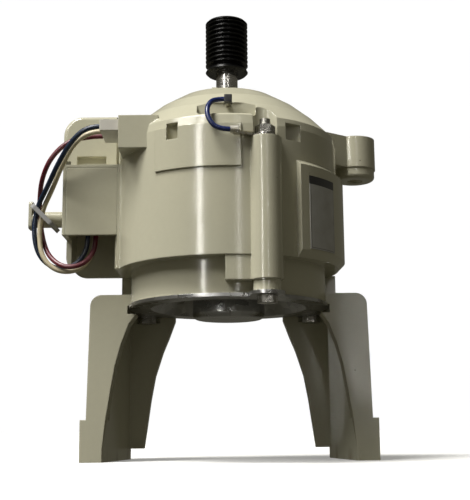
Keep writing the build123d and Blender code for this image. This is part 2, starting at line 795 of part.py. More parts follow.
# Pin with a flat head, pressed into the left wall of the box
with BuildPart() as tie_pin:
    with BuildSketch(Plane.YZ.offset(box_left - pin_length)):
        with Locations((pin_y, pin_z)):
            Circle(pin_diameter / 2)
    extrude(amount=pin_length)
    with BuildSketch(Plane.YZ.offset(box_left)):
        with Locations((pin_y, pin_z)):
            Circle(pin_spigot_diameter / 2)
    extrude(amount=pin_spigot_length)
    with BuildSketch(Plane.YZ.offset(box_left - pin_length - pin_head)) as head_face:
        with BuildLine():
            head_front = pin_y - pin_head_width / 2
            oblong(head_front, head_front + pin_head_width, pin_z - pin_head_drop, pin_z + pin_head_rise)
        make_face()
        fillet(head_face.vertices(), radius=pin_head)
    extrude(amount=pin_head)
tie_pin.part.label = "tie_pin"
export_step(tie_pin.part, "parts/tie_pin.step")

# Cable tie, a slanted loop round the pin and the leads with its head behind
tie_back = pin_y + pin_diameter / 2 + part_gap / 2
tie_plane = Plane(origin=(tie_x, (tie_front + tie_back) / 2, pin_z), x_dir=(1, 0, -1), z_dir=(1, 0, 1))
with BuildPart() as cable_tie:
    with BuildSketch(tie_plane):
        tie_length = 2 * tie_reach
        tie_height = tie_back - tie_front
        RectangleRounded(
            tie_length + 2 * tie_thickness, tie_height + 2 * tie_thickness, tie_round + tie_thickness
        )
        RectangleRounded(tie_length, tie_height, tie_round, mode=Mode.SUBTRACT)
    extrude(amount=tie_width / 2, both=True)
    with BuildSketch(tie_plane.offset(-tie_head[2] / 2)):
        with Locations((0, (tie_back - tie_front + tie_head[1]) / 2 + tie_thickness / 2)):
            Rectangle(tie_head[0], tie_head[1])
    extrude(amount=tie_head[2])
cable_tie.part.label = "cable_tie"
export_step(cable_tie.part, "parts/cable_tie.step")

# Plug in the connector socket, with a hole for each lead and a cavity for each pin
with BuildPart() as terminal_plug:
    with BuildSketch(Plane.XY.offset(plug_top_z - plug_height)):
        with BuildLine():
            oblong(plug_left, socket_left + socket_depth - part_gap, plug_front, plug_back)
        make_face()
    extrude(amount=plug_height)
    chamfer(terminal_plug.faces().sort_by(Axis.X)[0].edges(), length=plug_bevel)
    with BuildSketch(Plane.YZ.offset(plug_left - overrun)):
        with Locations(*[(y, plug_z) for y in pole_rows]):
            Circle(lead_diameter / 2 + lead_play)
    extrude(amount=lead_insert + lead_play + overrun, mode=Mode.SUBTRACT)
    with BuildSketch(Plane.YZ.offset(socket_left + socket_depth - pole_cavity)):
        with Locations(*[(y, plug_z) for y in pole_rows]):
            Rectangle(pole_size + 2 * seat_gap, pole_size + 2 * seat_gap)
    extrude(amount=pole_cavity, mode=Mode.SUBTRACT)
terminal_plug.part.label = "terminal_plug"
export_step(terminal_plug.part, "parts/terminal_plug.step")

# Three pins that stand in the socket
with BuildPart() as terminal_pins:
    with BuildSketch(Plane.YZ.offset(socket_left + socket_depth - pole_cavity + plug_bevel)):
        with Locations(*[(y, plug_z) for y in pole_rows]):
            Rectangle(pole_size, pole_size)
    extrude(amount=pole_cavity - plug_bevel + pole_sunk)
terminal_pins.part.label = "terminal_pins"
export_step(terminal_pins.part, "parts/terminal_pins.step")

# Leads from the plug round the tie pin into the box
for name, points, diameter in (
    ("blue_lead", blue_route, lead_diameter),
    ("white_lead", white_route, lead_diameter),
    ("red_lead", red_route, lead_diameter),
    ("earth_lead", earth_route, earth_diameter),
):
    with BuildPart() as lead:
        middle_line = swept_cord(points, diameter)
    lead.part.label = name
    export_step(lead.part, f"parts/{name}.step")
    expected = middle_line.length * math.pi * diameter**2 / 4
    print(name, "length", round(middle_line.length, 1), "least bend", round(min(bend_radii(points)), 1),
          "volume", round(lead.part.volume, 1), "of", round(expected, 1))

# Boot on the dome, with the blade it covers
boot_top_z = earth_route[0][2] + boot_size[2] / 2
with BuildPart() as earth_boot:
    with BuildSketch(Plane.XY.offset(boot_top_z - boot_size[2])) as boot_plan:
        with BuildLine():
            oblong(boot_left, boot_left + boot_size[0], boot_front, boot_front + boot_size[1])
        make_face()
        fillet(boot_plan.vertices(), radius=overrun / 2)
    extrude(amount=boot_size[2])
    with BuildSketch(Plane.YZ.offset(boot_left - overrun)):
        with Locations(earth_route[0][1:]):
            Circle(earth_diameter / 2 + lead_play)
    extrude(amount=earth_route[0][0] - boot_left + lead_play + overrun, mode=Mode.SUBTRACT)
    blade_front = boot_front + boot_size[1] - blade_start
    with BuildSketch(front_plane(boot_front + boot_size[1] + overrun)):
        with Locations((blade_x, blade_z)):
            Rectangle(blade_width + 2 * seat_gap, terminal_sheet + 2 * seat_gap)
    extrude(amount=blade_start + overrun, mode=Mode.SUBTRACT)
earth_boot.part.label = "earth_boot"
export_step(earth_boot.part, "parts/earth_boot.step")
with BuildPart() as earth_blade:
    with BuildSketch(front_plane(blade_sunk - pocket_back)):
        with Locations((blade_x, blade_z)):
            Rectangle(blade_width, terminal_sheet)
    extrude(amount=blade_sunk - pocket_back - blade_front - seat_gap)
earth_blade.part.label = "earth_blade"
export_step(earth_blade.part, "parts/earth_blade.step")

# Ring terminal of the earth lead under the front nut, with its crimped barrel
with BuildPart() as earth_ring_terminal:
    with BuildSketch(Plane.XY.offset(boss_top_z)):
        with Locations(front_bolt):
            Circle(ring_terminal_radius)
        with Locations(Location((*strip_middle, 0), (0, 0, strip_angle))):
            Rectangle(strip_length, tongue_strip)
    extrude(amount=terminal_sheet)
    with BuildSketch(Plane.YZ.offset(barrel_start)):
        with Locations((barrel_y, barrel_z)):
            Circle(barrel_radius)
    extrude(amount=barrel_length)
    with BuildSketch(Plane.YZ.offset(barrel_start - overrun)):
        with Locations((barrel_y, barrel_z)):
            Circle(earth_diameter / 2 + seat_gap)
    extrude(amount=barrel_length + 2 * overrun, mode=Mode.SUBTRACT)
    with BuildSketch(Plane.XY.offset(boss_top_z - overrun)):
        with Locations(front_bolt):
            Circle(bolt_hole)
    extrude(amount=terminal_sheet + 2 * overrun, mode=Mode.SUBTRACT)
earth_ring_terminal.part.label = "earth_ring_terminal"
export_step(earth_ring_terminal.part, "parts/earth_ring_terminal.step")

# Rating label on the thicker wall, left bare
label_top_z = drum_z + block_height - label_drop
with BuildPart() as rating_label:
    with BuildSketch(Plane.XY.offset(label_top_z - label_height)):
        with BuildLine():
            sector(block_radius + seat_gap, block_radius + seat_gap + label_thickness, *label_angles)
        make_face()
    extrude(amount=label_height)
rating_label.part.label = "rating_label"
export_step(rating_label.part, "parts/rating_label.step")

# End shield: flange with three lobes, raised dish and the lower bearing's cup
cup_outer = seat_radius + shield_sheet
flange_inner = dish_radius + 2 * shield_sheet
with BuildPart() as end_shield:
    dish_edge = dish_radius - dish_slope
    plate_z = dish_z - dish_slope / 2
    points = [(0, cup_z), (cup_outer, cup_z), (cup_outer, plate_z), (dish_edge - shield_sheet, dish_z)]
    points += [(dish_radius, flange_z), (flange_inner + overrun, flange_z), (flange_inner + overrun, seat_z)]
    points += [(dish_radius + shield_sheet, seat_z), (dish_edge, dish_z + shield_sheet)]
    points += [(cup_outer, plate_z + shield_sheet), (seat_radius, plate_z + shield_sheet)]
    points += [(seat_radius, cup_z + shield_sheet), (0, cup_z + shield_sheet)]
    turned(points)
    with BuildSketch(Plane.XY.offset(flange_z)):
        Circle(shield_radius)
        with Locations(*bolt_places):
            Circle(lobe_radius)
        Circle(flange_inner, mode=Mode.SUBTRACT)
    extrude(amount=shield_sheet)
    with BuildSketch(Plane.XY.offset(flange_z - overrun)):
        with Locations(*bolt_places):
            Circle(bolt_hole)
    extrude(amount=shield_sheet + 2 * overrun, mode=Mode.SUBTRACT)
    fillet(end_shield.edges().filter_by(GeomType.CIRCLE).group_by(Axis.Z)[0], radius=cup_round)
end_shield.part.label = "end_shield"
export_step(end_shield.part, "parts/end_shield.step")
print("shield solids", len(end_shield.solids()))

# Through-bolts with their nuts and spring washers; the front nut also holds the ring terminal
washer_rises = (terminal_sheet, 0, 0)
with BuildPart() as through_bolts:
    for place, rise in zip(bolt_places, washer_rises):
        bolt_top_z = boss_top_z + rise + washer_height + nut_height + bolt_end
        with BuildSketch(Plane.XY.offset(flange_z - head_height)):
            with Locations(place):
                RegularPolygon(head_width / 2, side_count=6, major_radius=False)
        extrude(amount=head_height)
        with BuildSketch(Plane.XY.offset(flange_z)):
            with Locations(place):
                Circle(bolt_diameter / 2 - seat_gap)
        extrude(amount=bolt_top_z - flange_z)
        with BuildSketch(Plane.XY.offset(bolt_top_z - slot_depth)):
            with Locations(place):
                Rectangle(bolt_diameter + overrun, slot_width)
        extrude(amount=slot_depth + overrun, mode=Mode.SUBTRACT)
through_bolts.part.label = "through_bolts"
export_step(through_bolts.part, "parts/through_bolts.step")
with BuildPart() as spring_washers:
    for place, rise in zip(bolt_places, washer_rises):
        with BuildSketch(Plane.XY.offset(boss_top_z + rise)):
            with Locations(place):
                Circle(bolt_hole + lock_washer_width)
                Circle(bolt_hole, mode=Mode.SUBTRACT)
            with Locations((place[0], place[1] + bolt_hole + lock_washer_width / 2)):
                Rectangle(washer_split, lock_washer_width + overrun, mode=Mode.SUBTRACT)
        extrude(amount=washer_height)
spring_washers.part.label = "spring_washers"
export_step(spring_washers.part, "parts/spring_washers.step")
with BuildPart() as hex_nuts:
    for place, rise in zip(bolt_places, washer_rises):
        with BuildSketch(Plane.XY.offset(boss_top_z + rise + washer_height)):
            with Locations(place):
                RegularPolygon(nut_width / 2, side_count=6, major_radius=False)
                Circle(bolt_diameter / 2, mode=Mode.SUBTRACT)
        extrude(amount=nut_height)
    chamfer(hex_nuts.edges().filter_by(GeomType.LINE).group_by(Axis.Z)[-1], length=nut_chamfer)
hex_nuts.part.label = "hex_nuts"
export_step(hex_nuts.part, "parts/hex_nuts.step")

# Shaft, with a bevelled tail, a shoulder for the lower bearing and a groove for the retaining ring
journal = bearing_bore / 2 - seat_gap
groove_z = bearing_top_z + seat_gap
pulley_z = collar_z + pulley_lift
pulley_top_z = pulley_z + pulley_band + rib_count * rib_pitch + pulley_rim
with BuildPart() as shaft:
    shoulder_low_z = lower_bearing_z + bearing_width + seat_gap
    points = [(0, lower_bearing_z + shaft_tail), (journal - shaft_bevel, lower_bearing_z + shaft_tail)]
    points += [(journal, lower_bearing_z + shaft_tail + shaft_bevel), (journal, shoulder_low_z)]
    points += [(shaft_core / 2, shoulder_low_z), (shaft_core / 2, bearing_seat_z - seat_gap)]
    points += [(journal, bearing_seat_z - seat_gap), (journal, groove_z), (journal - groove_depth, groove_z)]
    points += [(journal - groove_depth, groove_z + snap_ring_height + seat_gap)]
    points += [(shaft_end / 2, groove_z + snap_ring_height + seat_gap)]
    points += [(shaft_end / 2, pulley_top_z - shaft_drop - shaft_bevel)]
    points += [(shaft_end / 2 - shaft_bevel, pulley_top_z - shaft_drop), (0, pulley_top_z - shaft_drop)]
    turned(points)
shaft.part.label = "shaft"
export_step(shaft.part, "parts/shaft.step")
with BuildPart() as retaining_ring:
    with BuildSketch(Plane.XY.offset(groove_z)):
        Circle(journal - groove_depth + snap_ring_width)
        Circle(journal - groove_depth + seat_gap, mode=Mode.SUBTRACT)
        with Locations((0, shaft_core / 2)):
            Rectangle(snap_ring_split, shaft_core, mode=Mode.SUBTRACT)
    extrude(amount=snap_ring_height)
retaining_ring.part.label = "retaining_ring"
export_step(retaining_ring.part, "parts/retaining_ring.step")

# Ribbed belt pulley on the shaft's end
with BuildPart() as belt_pulley:
    crest = pulley_diameter / 2
    bore = shaft_end / 2 + seat_gap
    points = [(bore, pulley_z), (crest - pulley_round, pulley_z), (crest, pulley_z + pulley_round)]
    for rib in range(rib_count):
        rib_z = pulley_z + pulley_band + rib * rib_pitch
        points += [(crest - rib_depth * (1 - r), rib_z + z * rib_pitch) for z, r in rib_shares]
    points += [(crest, pulley_top_z - pulley_rim), (crest, pulley_top_z - pulley_round)]
    points += [(crest - pulley_round, pulley_top_z), (bore, pulley_top_z)]
    turned(points)
belt_pulley.part.label = "belt_pulley"
export_step(belt_pulley.part, "parts/belt_pulley.step")

# Rotor core, magnets and end rings on the shaft
rotor_z = stack_middle_z - rotor_length / 2
core_bore = shaft_core / 2 + seat_gap
magnet_inner = rotor_radius - magnet_depth
with BuildPart() as rotor_core:
    with BuildSketch(Plane.XY.offset(rotor_z)):
        Circle(magnet_inner)
        Circle(core_bore, mode=Mode.SUBTRACT)
    extrude(amount=rotor_length)
rotor_core.part.label = "rotor_core"
export_step(rotor_core.part, "parts/rotor_core.step")
with BuildPart() as rotor_magnets:
    magnet_pitch = 360 / magnet_count
    for magnet in range(magnet_count):
        with BuildSketch(Plane.XY.offset(rotor_z)):
            with BuildLine():
                start = magnet * magnet_pitch + magnet_gap_angle / 2
                sector(magnet_inner + seat_gap, rotor_radius, start, start + magnet_pitch - magnet_gap_angle)
            make_face()
        extrude(amount=rotor_length)
rotor_magnets.part.label = "rotor_magnets"
export_step(rotor_magnets.part, "parts/rotor_magnets.step")
end_rings = (("lower_end_ring", rotor_z - end_ring_height), ("upper_end_ring", rotor_z + rotor_length))
for name, ring_z in end_rings:
    with BuildPart() as end_ring:
        with BuildSketch(Plane.XY.offset(ring_z)):
            Circle(rotor_radius)
            Circle(core_bore, mode=Mode.SUBTRACT)
        extrude(amount=end_ring_height)
    end_ring.part.label = name
    export_step(end_ring.part, f"parts/{name}.step")

# Ball bearings: outer ring, inner ring, balls and cage, the lower one and the upper one
pitch_radius = (bearing_bore + bearing_outer) / 4
ball_places = [polar(pitch_radius, 360 * k / ball_count) for k in range(ball_count)]
race_radius = ball_diameter / 2 + ball_gap
for place, base_z in (("lower", lower_bearing_z), ("upper", bearing_seat_z)):
    middle_z = base_z + bearing_width / 2
    ring_widths = (
        ("outer_ring", bearing_outer / 2, pitch_radius + race_land),
        ("inner_ring", pitch_radius - race_land, bearing_bore / 2),
    )
    for name, outside_radius, inside_radius in ring_widths:
        with BuildPart() as bearing_ring:
            with BuildSketch(Plane.XY.offset(base_z)):
                Circle(outside_radius)
                Circle(inside_radius, mode=Mode.SUBTRACT)
            extrude(amount=bearing_width)
            with BuildSketch(Plane.XZ):
                with Locations((pitch_radius, middle_z)):
                    Circle(race_radius)
            revolve(axis=Axis.Z, mode=Mode.SUBTRACT)
        bearing_ring.part.label = f"{place}_{name}"
        export_step(bearing_ring.part, f"parts/{place}_{name}.step")
    with BuildPart() as balls:
        with Locations(*[(x, y, middle_z) for x, y in ball_places]):
            Sphere(ball_diameter / 2)
    balls.part.label = f"{place}_balls"
    export_step(balls.part, f"parts/{place}_balls.step")
    with BuildPart() as cage:
        cage_half = ball_diameter / 2 + cage_gap + cage_edge
        with BuildSketch(Plane.XY.offset(middle_z - cage_half)):
            Circle(pitch_radius + cage_thickness / 2)
            Circle(pitch_radius - cage_thickness / 2, mode=Mode.SUBTRACT)
        extrude(amount=2 * cage_half)
        for k in range(ball_count):
            with BuildSketch(facing_plane(pitch_radius, 360 * k / ball_count, middle_z)):
                Circle(ball_diameter / 2 + cage_gap)
            extrude(amount=cage_thickness, both=True, mode=Mode.SUBTRACT)
    cage.part.label = f"{place}_cage"
    export_step(cage.part, f"parts/{place}_cage.step")

# Spring washer under the lower bearing, which presses on its outer ring
with BuildPart() as wave_washer:
    with BuildSketch(Plane.XY.offset(cup_z + shield_sheet)):
        Circle(bearing_outer / 2 - seat_gap)
        Circle(bearing_outer / 2 - wave_width, mode=Mode.SUBTRACT)
    extrude(amount=washer_ring_height)
wave_washer.part.label = "wave_washer"
export_step(wave_washer.part, "parts/wave_washer.step")

# Stator core: yoke, teeth and pole shoes round the rotor
stator_bore = rotor_radius + air_gap
yoke_inner = stator_radius - yoke_width
tooth_angles = [360 * k / tooth_count for k in range(tooth_count)]
with BuildPart() as stator_core:
    with BuildSketch(Plane.XY.offset(stack_z)):
        Circle(stator_radius)
        Circle(yoke_inner, mode=Mode.SUBTRACT)
        with PolarLocations((stator_bore + yoke_inner + yoke_width / 2) / 2, tooth_count):
            Rectangle(yoke_inner + yoke_width / 2 - stator_bore, tooth_width)
        with PolarLocations(stator_bore + shoe_depth / 2, tooth_count):
            Rectangle(shoe_depth, shoe_width)
        Circle(stator_bore, mode=Mode.SUBTRACT)
    extrude(amount=stack_height)
stator_core.part.label = "stator_core"
export_step(stator_core.part, "parts/stator_core.step")

# Slot insulators on both ends of the core, with rims that hold the coils; the upper one carries the board
coil_inner = stator_bore + shoe_depth + part_gap
rim_inner = yoke_inner - insulator_rim
coil_half_width = tooth_width / 2 + part_gap + coil_build
coil_outer = math.sqrt((rim_inner - part_gap)**2 - coil_half_width**2)
rim_height = insulator_thickness + part_gap + coil_overhang
for name, base_z, way in (("upper_insulator", stack_top_z, 1), ("lower_insulator", stack_z, -1)):
    with BuildPart() as insulator:
        with BuildSketch(Plane.XY.offset(base_z)):
            Circle(yoke_inner + 2 * insulator_rim)
            Circle(rim_inner, mode=Mode.SUBTRACT)
            with PolarLocations((stator_bore + yoke_inner) / 2 + air_gap, tooth_count):
                Rectangle(yoke_inner - stator_bore, tooth_width)
            Circle(stator_bore + air_gap, mode=Mode.SUBTRACT)
        extrude(amount=way * insulator_thickness)
        with BuildSketch(Plane.XY.offset(base_z)):
            Circle(yoke_inner + insulator_rim)
            Circle(rim_inner, mode=Mode.SUBTRACT)
            with PolarLocations(stator_bore + air_gap + insulator_rim / 2, tooth_count):
                Rectangle(insulator_rim, shoe_width - insulator_rim)
        extrude(amount=way * rim_height)
        if way > 0:
            with BuildSketch(Plane.XY.offset(base_z)):
                with Locations(*[polar(yoke_inner + insulator_rim / 2, angle) for angle in peg_angles]):
                    Circle(peg_diameter / 2)
            extrude(amount=rim_height + board_rise)
    insulator.part.label = name
    export_step(insulator.part, f"parts/{name}.step")
    print(name, "solids", len(insulator.solids()))

# Windings, one coil round each tooth
with BuildPart() as windings:
    inner_width = 2 * (coil_half_width - coil_build)
    inner_height = stack_height + 2 * insulator_thickness + 2 * part_gap
    for angle in tooth_angles:
        with BuildSketch(facing_plane(coil_inner, angle, stack_middle_z)):
            RectangleRounded(2 * coil_half_width, inner_height + 2 * coil_overhang - part_gap, coil_round)
            Rectangle(inner_width, inner_height, mode=Mode.SUBTRACT)
        extrude(amount=coil_outer - coil_inner)
windings.part.label = "windings"
export_step(windings.part, "parts/windings.step")

# Position sensor board on the upper insulator's pegs, with three sensors under it
board_z = stack_top_z + rim_height + board_rise
with BuildPart() as sensor_board:
    with BuildSketch(Plane.XY.offset(board_z)):
        Circle(upper_room - board_edge)
        Circle(magnet_inner + overrun, mode=Mode.SUBTRACT)
    extrude(amount=board_thickness)
sensor_board.part.label = "sensor_board"
export_step(sensor_board.part, "parts/sensor_board.step")
with BuildPart() as position_sensors:
    with BuildSketch(Plane.XY.offset(board_z - sensor_size[2])):
        for angle in sensor_angles:
            with Locations(Location((*polar(rotor_radius - sensor_size[1], angle), 0), (0, 0, angle - 90))):
                Rectangle(sensor_size[0], sensor_size[1])
    extrude(amount=sensor_size[2])
position_sensors.part.label = "position_sensors"
export_step(position_sensors.part, "parts/position_sensors.step")
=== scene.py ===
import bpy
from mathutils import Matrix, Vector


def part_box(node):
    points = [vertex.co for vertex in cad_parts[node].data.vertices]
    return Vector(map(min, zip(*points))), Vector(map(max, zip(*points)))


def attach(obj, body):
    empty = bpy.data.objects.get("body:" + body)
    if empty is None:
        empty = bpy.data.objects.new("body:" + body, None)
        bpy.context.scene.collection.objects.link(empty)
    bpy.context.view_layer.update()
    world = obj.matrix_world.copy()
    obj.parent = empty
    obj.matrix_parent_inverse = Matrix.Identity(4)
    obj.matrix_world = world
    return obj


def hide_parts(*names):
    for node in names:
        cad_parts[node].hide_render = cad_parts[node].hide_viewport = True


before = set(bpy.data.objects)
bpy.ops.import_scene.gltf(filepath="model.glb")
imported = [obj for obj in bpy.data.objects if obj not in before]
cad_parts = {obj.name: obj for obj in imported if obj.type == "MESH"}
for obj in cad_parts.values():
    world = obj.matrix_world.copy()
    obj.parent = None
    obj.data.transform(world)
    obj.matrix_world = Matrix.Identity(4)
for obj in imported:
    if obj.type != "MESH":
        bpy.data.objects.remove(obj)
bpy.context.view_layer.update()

# %% [markdown]
# # A washing machine motor, dressed for its portrait
# The motor stands on its two moulded legs with the shaft and its ribbed pulley on top. Its solids come
# from a CAD model and keep their exact shapes. This lesson adds what CAD leaves out: the wound copper,
# the curved leads, threads, and a finish for each material. Everything is in metres, in the frame of the
# CAD model, so a new piece goes straight to its place.

# %% Tools for the whole lesson
import math

import bmesh
import bpy
import numpy as np
from mathutils import Matrix

scene = bpy.context.scene
MM = 0.001


def in_metres(points):
    """Places given in millimetres, turned into an array in metres."""
    return np.asarray(points, dtype=float) * MM


# %% [markdown]
# ## The camera
# The picture was taken from low down, a little under half a metre in front of the motor, looking
# slightly up. A camera at the same spot gives the same converging legs and the same view up under the
# steel shield. The focal length follows from the field of view: a frame 500 pixels high with a focal
# length of 980 pixels is a 70.6 mm lens on a 36 mm sensor. The last half degree is the tilt of the
# hand that held the camera.

# %% Place the camera
IMAGE_HEIGHT = 500
FOCAL_PIXELS = 980.0
SENSOR = 36.0
camera_place = (0.0034, -0.478, 0.016)
look_up, tilt = math.radians(10.25), math.radians(-0.5)
camera_data = bpy.data.cameras.new("portrait_camera")
camera_data.lens = FOCAL_PIXELS * SENSOR / IMAGE_HEIGHT
camera_data.sensor_width = SENSOR
camera_data.clip_start = 0.01
camera = bpy.data.objects.new("portrait_camera", camera_data)
scene.collection.objects.link(camera)
camera.matrix_world = (
    Matrix.Translation(camera_place)
    @ Matrix.Rotation(math.radians(90) + look_up, 4, "X")
    @ Matrix.Rotation(tilt, 4, "Z")
)
scene.camera = camera
print("lens", round(camera_data.lens, 2), "mm")

# %% [markdown]
# ## The four leads
# Three leads run from the plug on the shoulder, swing out through a cable tie and turn up into the
# cable box. A fourth one, the earth lead, bows over the front of the dome. A lead is a limp round cord,
# so each one is a smooth curve through a few control points with a round section.

# %% Lay the leads
lead_routes = {
    "blue_lead": [
        (-58.0, -35.47, 155.6), (-65.5, -35.47, 155.6), (-73.5, -32.0, 149.6), (-81.0, -24.5, 140.5),
        (-88.0, -14.0, 131.2), (-94.6, -5.4, 123.0), (-95.8, -4.6, 109.5), (-93.0, -2.4, 98.8),
        (-84.7, -1.5, 92.9), (-75.5, -2.2, 94.6), (-69.6, -3.6, 101.5), (-68.9, -3.8, 111.0),
        (-68.9, -3.8, 117.0),
    ],
    "white_lead": [
        (-58.0, -27.55, 155.6), (-65.0, -27.55, 155.6), (-73.0, -25.6, 150.9), (-79.5, -20.6, 141.4),
        (-85.6, -12.0, 131.2), (-91.7, -5.4, 122.0), (-93.0, -5.4, 109.6), (-90.9, -6.6, 98.0),
        (-83.5, -6.7, 91.2), (-73.5, -6.2, 91.4), (-67.0, -2.4, 98.8), (-66.9, -1.2, 108.5),
        (-66.9, -1.2, 117.0),
    ],
    "red_lead": [
        (-58.0, -19.63, 155.6), (-65.5, -19.63, 155.6), (-76.5, -21.0, 153.1), (-85.1, -19.5, 145.6),
        (-90.5, -14.0, 136.5), (-93.2, -5.0, 128.0), (-93.2, -2.0, 117.5), (-91.4, -2.0, 107.0),
        (-87.7, -4.8, 98.8), (-80.0, -9.4, 92.8), (-70.8, -9.0, 93.8), (-65.4, -5.6, 101.0),
        (-65.0, -4.0, 110.5), (-65.0, -4.0, 117.0),
    ],
    "earth_lead": [
        (1.2, -50.2, 163.4), (-4.0, -50.2, 163.4), (-7.4, -53.2, 161.2), (-8.8, -56.4, 156.4),
        (-7.8, -58.4, 151.0), (-3.6, -58.0, 146.6), (4.6, -58.0, 146.6),
    ],
}
lead_facts = {
    "blue_lead": (0.1278, 0.0024, "blue_insulation"),
    "white_lead": (0.1271, 0.0024, "white_insulation"),
    "red_lead": (0.1292, 0.0024, "red_insulation"),
    "earth_lead": (0.0353, 0.0023, "earth_insulation"),
}
leads = {}
for name, route in lead_routes.items():
    length, diameter, slot = lead_facts[name]
    curve = bpy.data.curves.new(name + "_line", "CURVE")
    curve.dimensions = "3D"
    spline = curve.splines.new("NURBS")
    spline.points.add(len(route) - 1)
    places = np.column_stack([in_metres(route), np.ones(len(route))])
    spline.points.foreach_set("co", places.ravel())
    spline.points.foreach_set("radius", np.full(len(route), diameter / 2))
    spline.order_u = 3
    spline.use_endpoint_u = True
    spline.resolution_u = 10
    curve.bevel_depth = 1.0
    curve.bevel_resolution = 5
    curve.use_fill_caps = True
    lead = bpy.data.objects.new(name + "_cord", curve)
    scene.collection.objects.link(lead)
    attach(lead, "housing")
    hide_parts(name)
    leads[name] = lead
print("leads:", ", ".join(f"{name} {lead_facts[name][0] * 1000:.0f} mm" for name in leads))

# %% [markdown]
# ## Surfaces from formulas
# Each new piece below is a surface worked out with numpy: a grid of points, each a function of two
# parameters. This helper joins the grid's neighbours into four-sided faces. A direction that wraps
# joins its last row to its first, which closes a tube or a ring.

# %% Turn a grid of points into a mesh piece
def grid_piece(name, points, wrap_rows=False, wrap_columns=True):
    """Piece from points[i, j]: face (i, j) joins (i, j), (i, j+1), (i+1, j+1) and (i+1, j)."""
    rows, columns = points.shape[:2]
    i = np.arange(rows if wrap_rows else rows - 1)[:, None]
    j = np.arange(columns if wrap_columns else columns - 1)[None, :]
    i_next, j_next = (i + 1) % rows, (j + 1) % columns
    corners = [i * columns + j, i * columns + j_next, i_next * columns + j_next, i_next * columns + j]
    return face_piece(name, points.reshape(-1, 3), np.stack(corners, axis=-1).reshape(-1, 4))


def face_piece(name, places, faces, weld=0.0):
    """Piece from an array of places and an array of four-sided faces, shaded smooth. Points closer
    than the weld distance become one, which closes a tube whose last ring has no radius."""
    mesh = bpy.data.meshes.new(name)
    mesh.vertices.add(len(places))
    mesh.vertices.foreach_set("co", np.ascontiguousarray(places, dtype=np.float32).ravel())
    mesh.loops.add(faces.size)
    mesh.loops.foreach_set("vertex_index", faces.astype(np.int32).ravel())
    mesh.polygons.add(len(faces))
    mesh.polygons.foreach_set("loop_start", np.arange(0, faces.size, 4, dtype=np.int32))
    mesh.polygons.foreach_set("use_smooth", np.ones(len(faces), dtype=bool))
    mesh.update(calc_edges=True)
    if weld:
        shape = bmesh.new()
        shape.from_mesh(mesh)
        bmesh.ops.remove_doubles(shape, verts=shape.verts, dist=weld)
        shape.to_mesh(mesh)
        shape.free()
    mesh.validate()
    piece = bpy.data.objects.new(name, mesh)
    scene.collection.objects.link(piece)
    return piece


def tube_points(path, side, radius, around=6):
    """Tube along a path: each ring is the path's point plus the radius times (cosine of the angle
    along the side direction, and sine along the direction at right angles to side and path)."""
    along = np.gradient(path, axis=0)
    along /= np.linalg.norm(along, axis=1, keepdims=True)
    first = side - along * (side * along).sum(axis=1, keepdims=True)
    first /= np.linalg.norm(first, axis=1, keepdims=True)
    second = np.cross(along, first)
    angle = -np.arange(around) * 2 * math.pi / around
    ring = np.cos(angle)[None, :, None] * first[:, None] + np.sin(angle)[None, :, None] * second[:, None]
    return path[:, None] + radius * ring


# %% [markdown]
# ## The windings
# A stator coil is one long enamelled wire, laid turn beside turn round its tooth, then back again in
# the next layer. A plain block would never pass for it. The path below is a rounded rectangle whose
# size grows with each layer, while the turn count carries the wire out along the tooth and back. One
# coil is worked out once, then turned to all twelve teeth as one array.

# %% Wind the twelve coils
def coil_path(wire, layers, turns, half_width, half_height, corner, inner, outer):
    """Middle line of a coil in its tooth's own frame (out along the tooth, across it, up).
    Across and up follow a rounded rectangle that is one wire wider with each layer. Out along the
    tooth, the wire moves evenly from the inner to the outer radius in even layers, and back in odd
    ones."""
    corners, steps = 4, 4
    points = corners * steps
    quarter = np.arange(corners).repeat(steps) * math.pi / 2
    bend = quarter + np.tile(np.linspace(0, math.pi / 2, steps), corners)
    loops = layers * turns
    turn = np.arange(loops).repeat(points) + np.tile(np.arange(points) / points, loops)
    angle, corner_way = np.tile(bend, loops), np.tile(quarter + math.pi / 4, loops)
    layer = np.minimum(turn // turns, layers - 1)
    grow = wire * (layer + 0.5)
    radius = corner + grow
    across = np.sign(np.cos(corner_way)) * (half_width - corner) + radius * np.cos(angle)
    up = np.sign(np.sin(corner_way)) * (half_height - corner) + radius * np.sin(angle)
    share = turn / turns - layer
    share = np.where(layer % 2 == 0, share, 1 - share)
    return np.column_stack([inner + wire / 2 + share * (outer - inner - wire), across, up])


TEETH = 12
wire = 0.92 * MM
coil_middle = 116.0 * MM
path = coil_path(
    wire, layers=3, turns=7, half_width=3.8 * MM, half_height=22.7 * MM, corner=0.3 * MM,
    inner=28.5 * MM, outer=35.6 * MM,
)
coil = tube_points(path, np.broadcast_to([1.0, 0.0, 0.0], path.shape), wire * 0.49)
start, end = (path[index][None, None].repeat(coil.shape[1], axis=1) for index in (0, -1))
coil = np.concatenate([start, coil, end])
tooth = np.arange(TEETH) * 2 * math.pi / TEETH
turn_to_tooth = np.stack([
    np.stack([np.cos(tooth), -np.sin(tooth), 0 * tooth], axis=-1),
    np.stack([np.sin(tooth), np.cos(tooth), 0 * tooth], axis=-1),
    np.stack([0 * tooth, 0 * tooth, 0 * tooth + 1], axis=-1),
], axis=-2)
coils = np.einsum("tab,pqb->tpqa", turn_to_tooth, coil) + np.array([0, 0, coil_middle])
rows, around = coil.shape[:2]
i = np.arange(rows - 1)[:, None]
j = np.arange(around)[None, :]
j_next = (j + 1) % around
one = np.stack([i * around + j, i * around + j_next, (i + 1) * around + j_next, (i + 1) * around + j], -1)
faces = (one.reshape(-1, 4)[None] + (np.arange(TEETH) * rows * around)[:, None, None]).reshape(-1, 4)
windings = face_piece("wound_coils", coils.reshape(-1, 3), faces, weld=0.001 * MM)
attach(windings, "housing")
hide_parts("windings")
print("coil wire:", round(float(np.linalg.norm(np.diff(path, axis=0), axis=1).sum()), 2), "m a tooth")

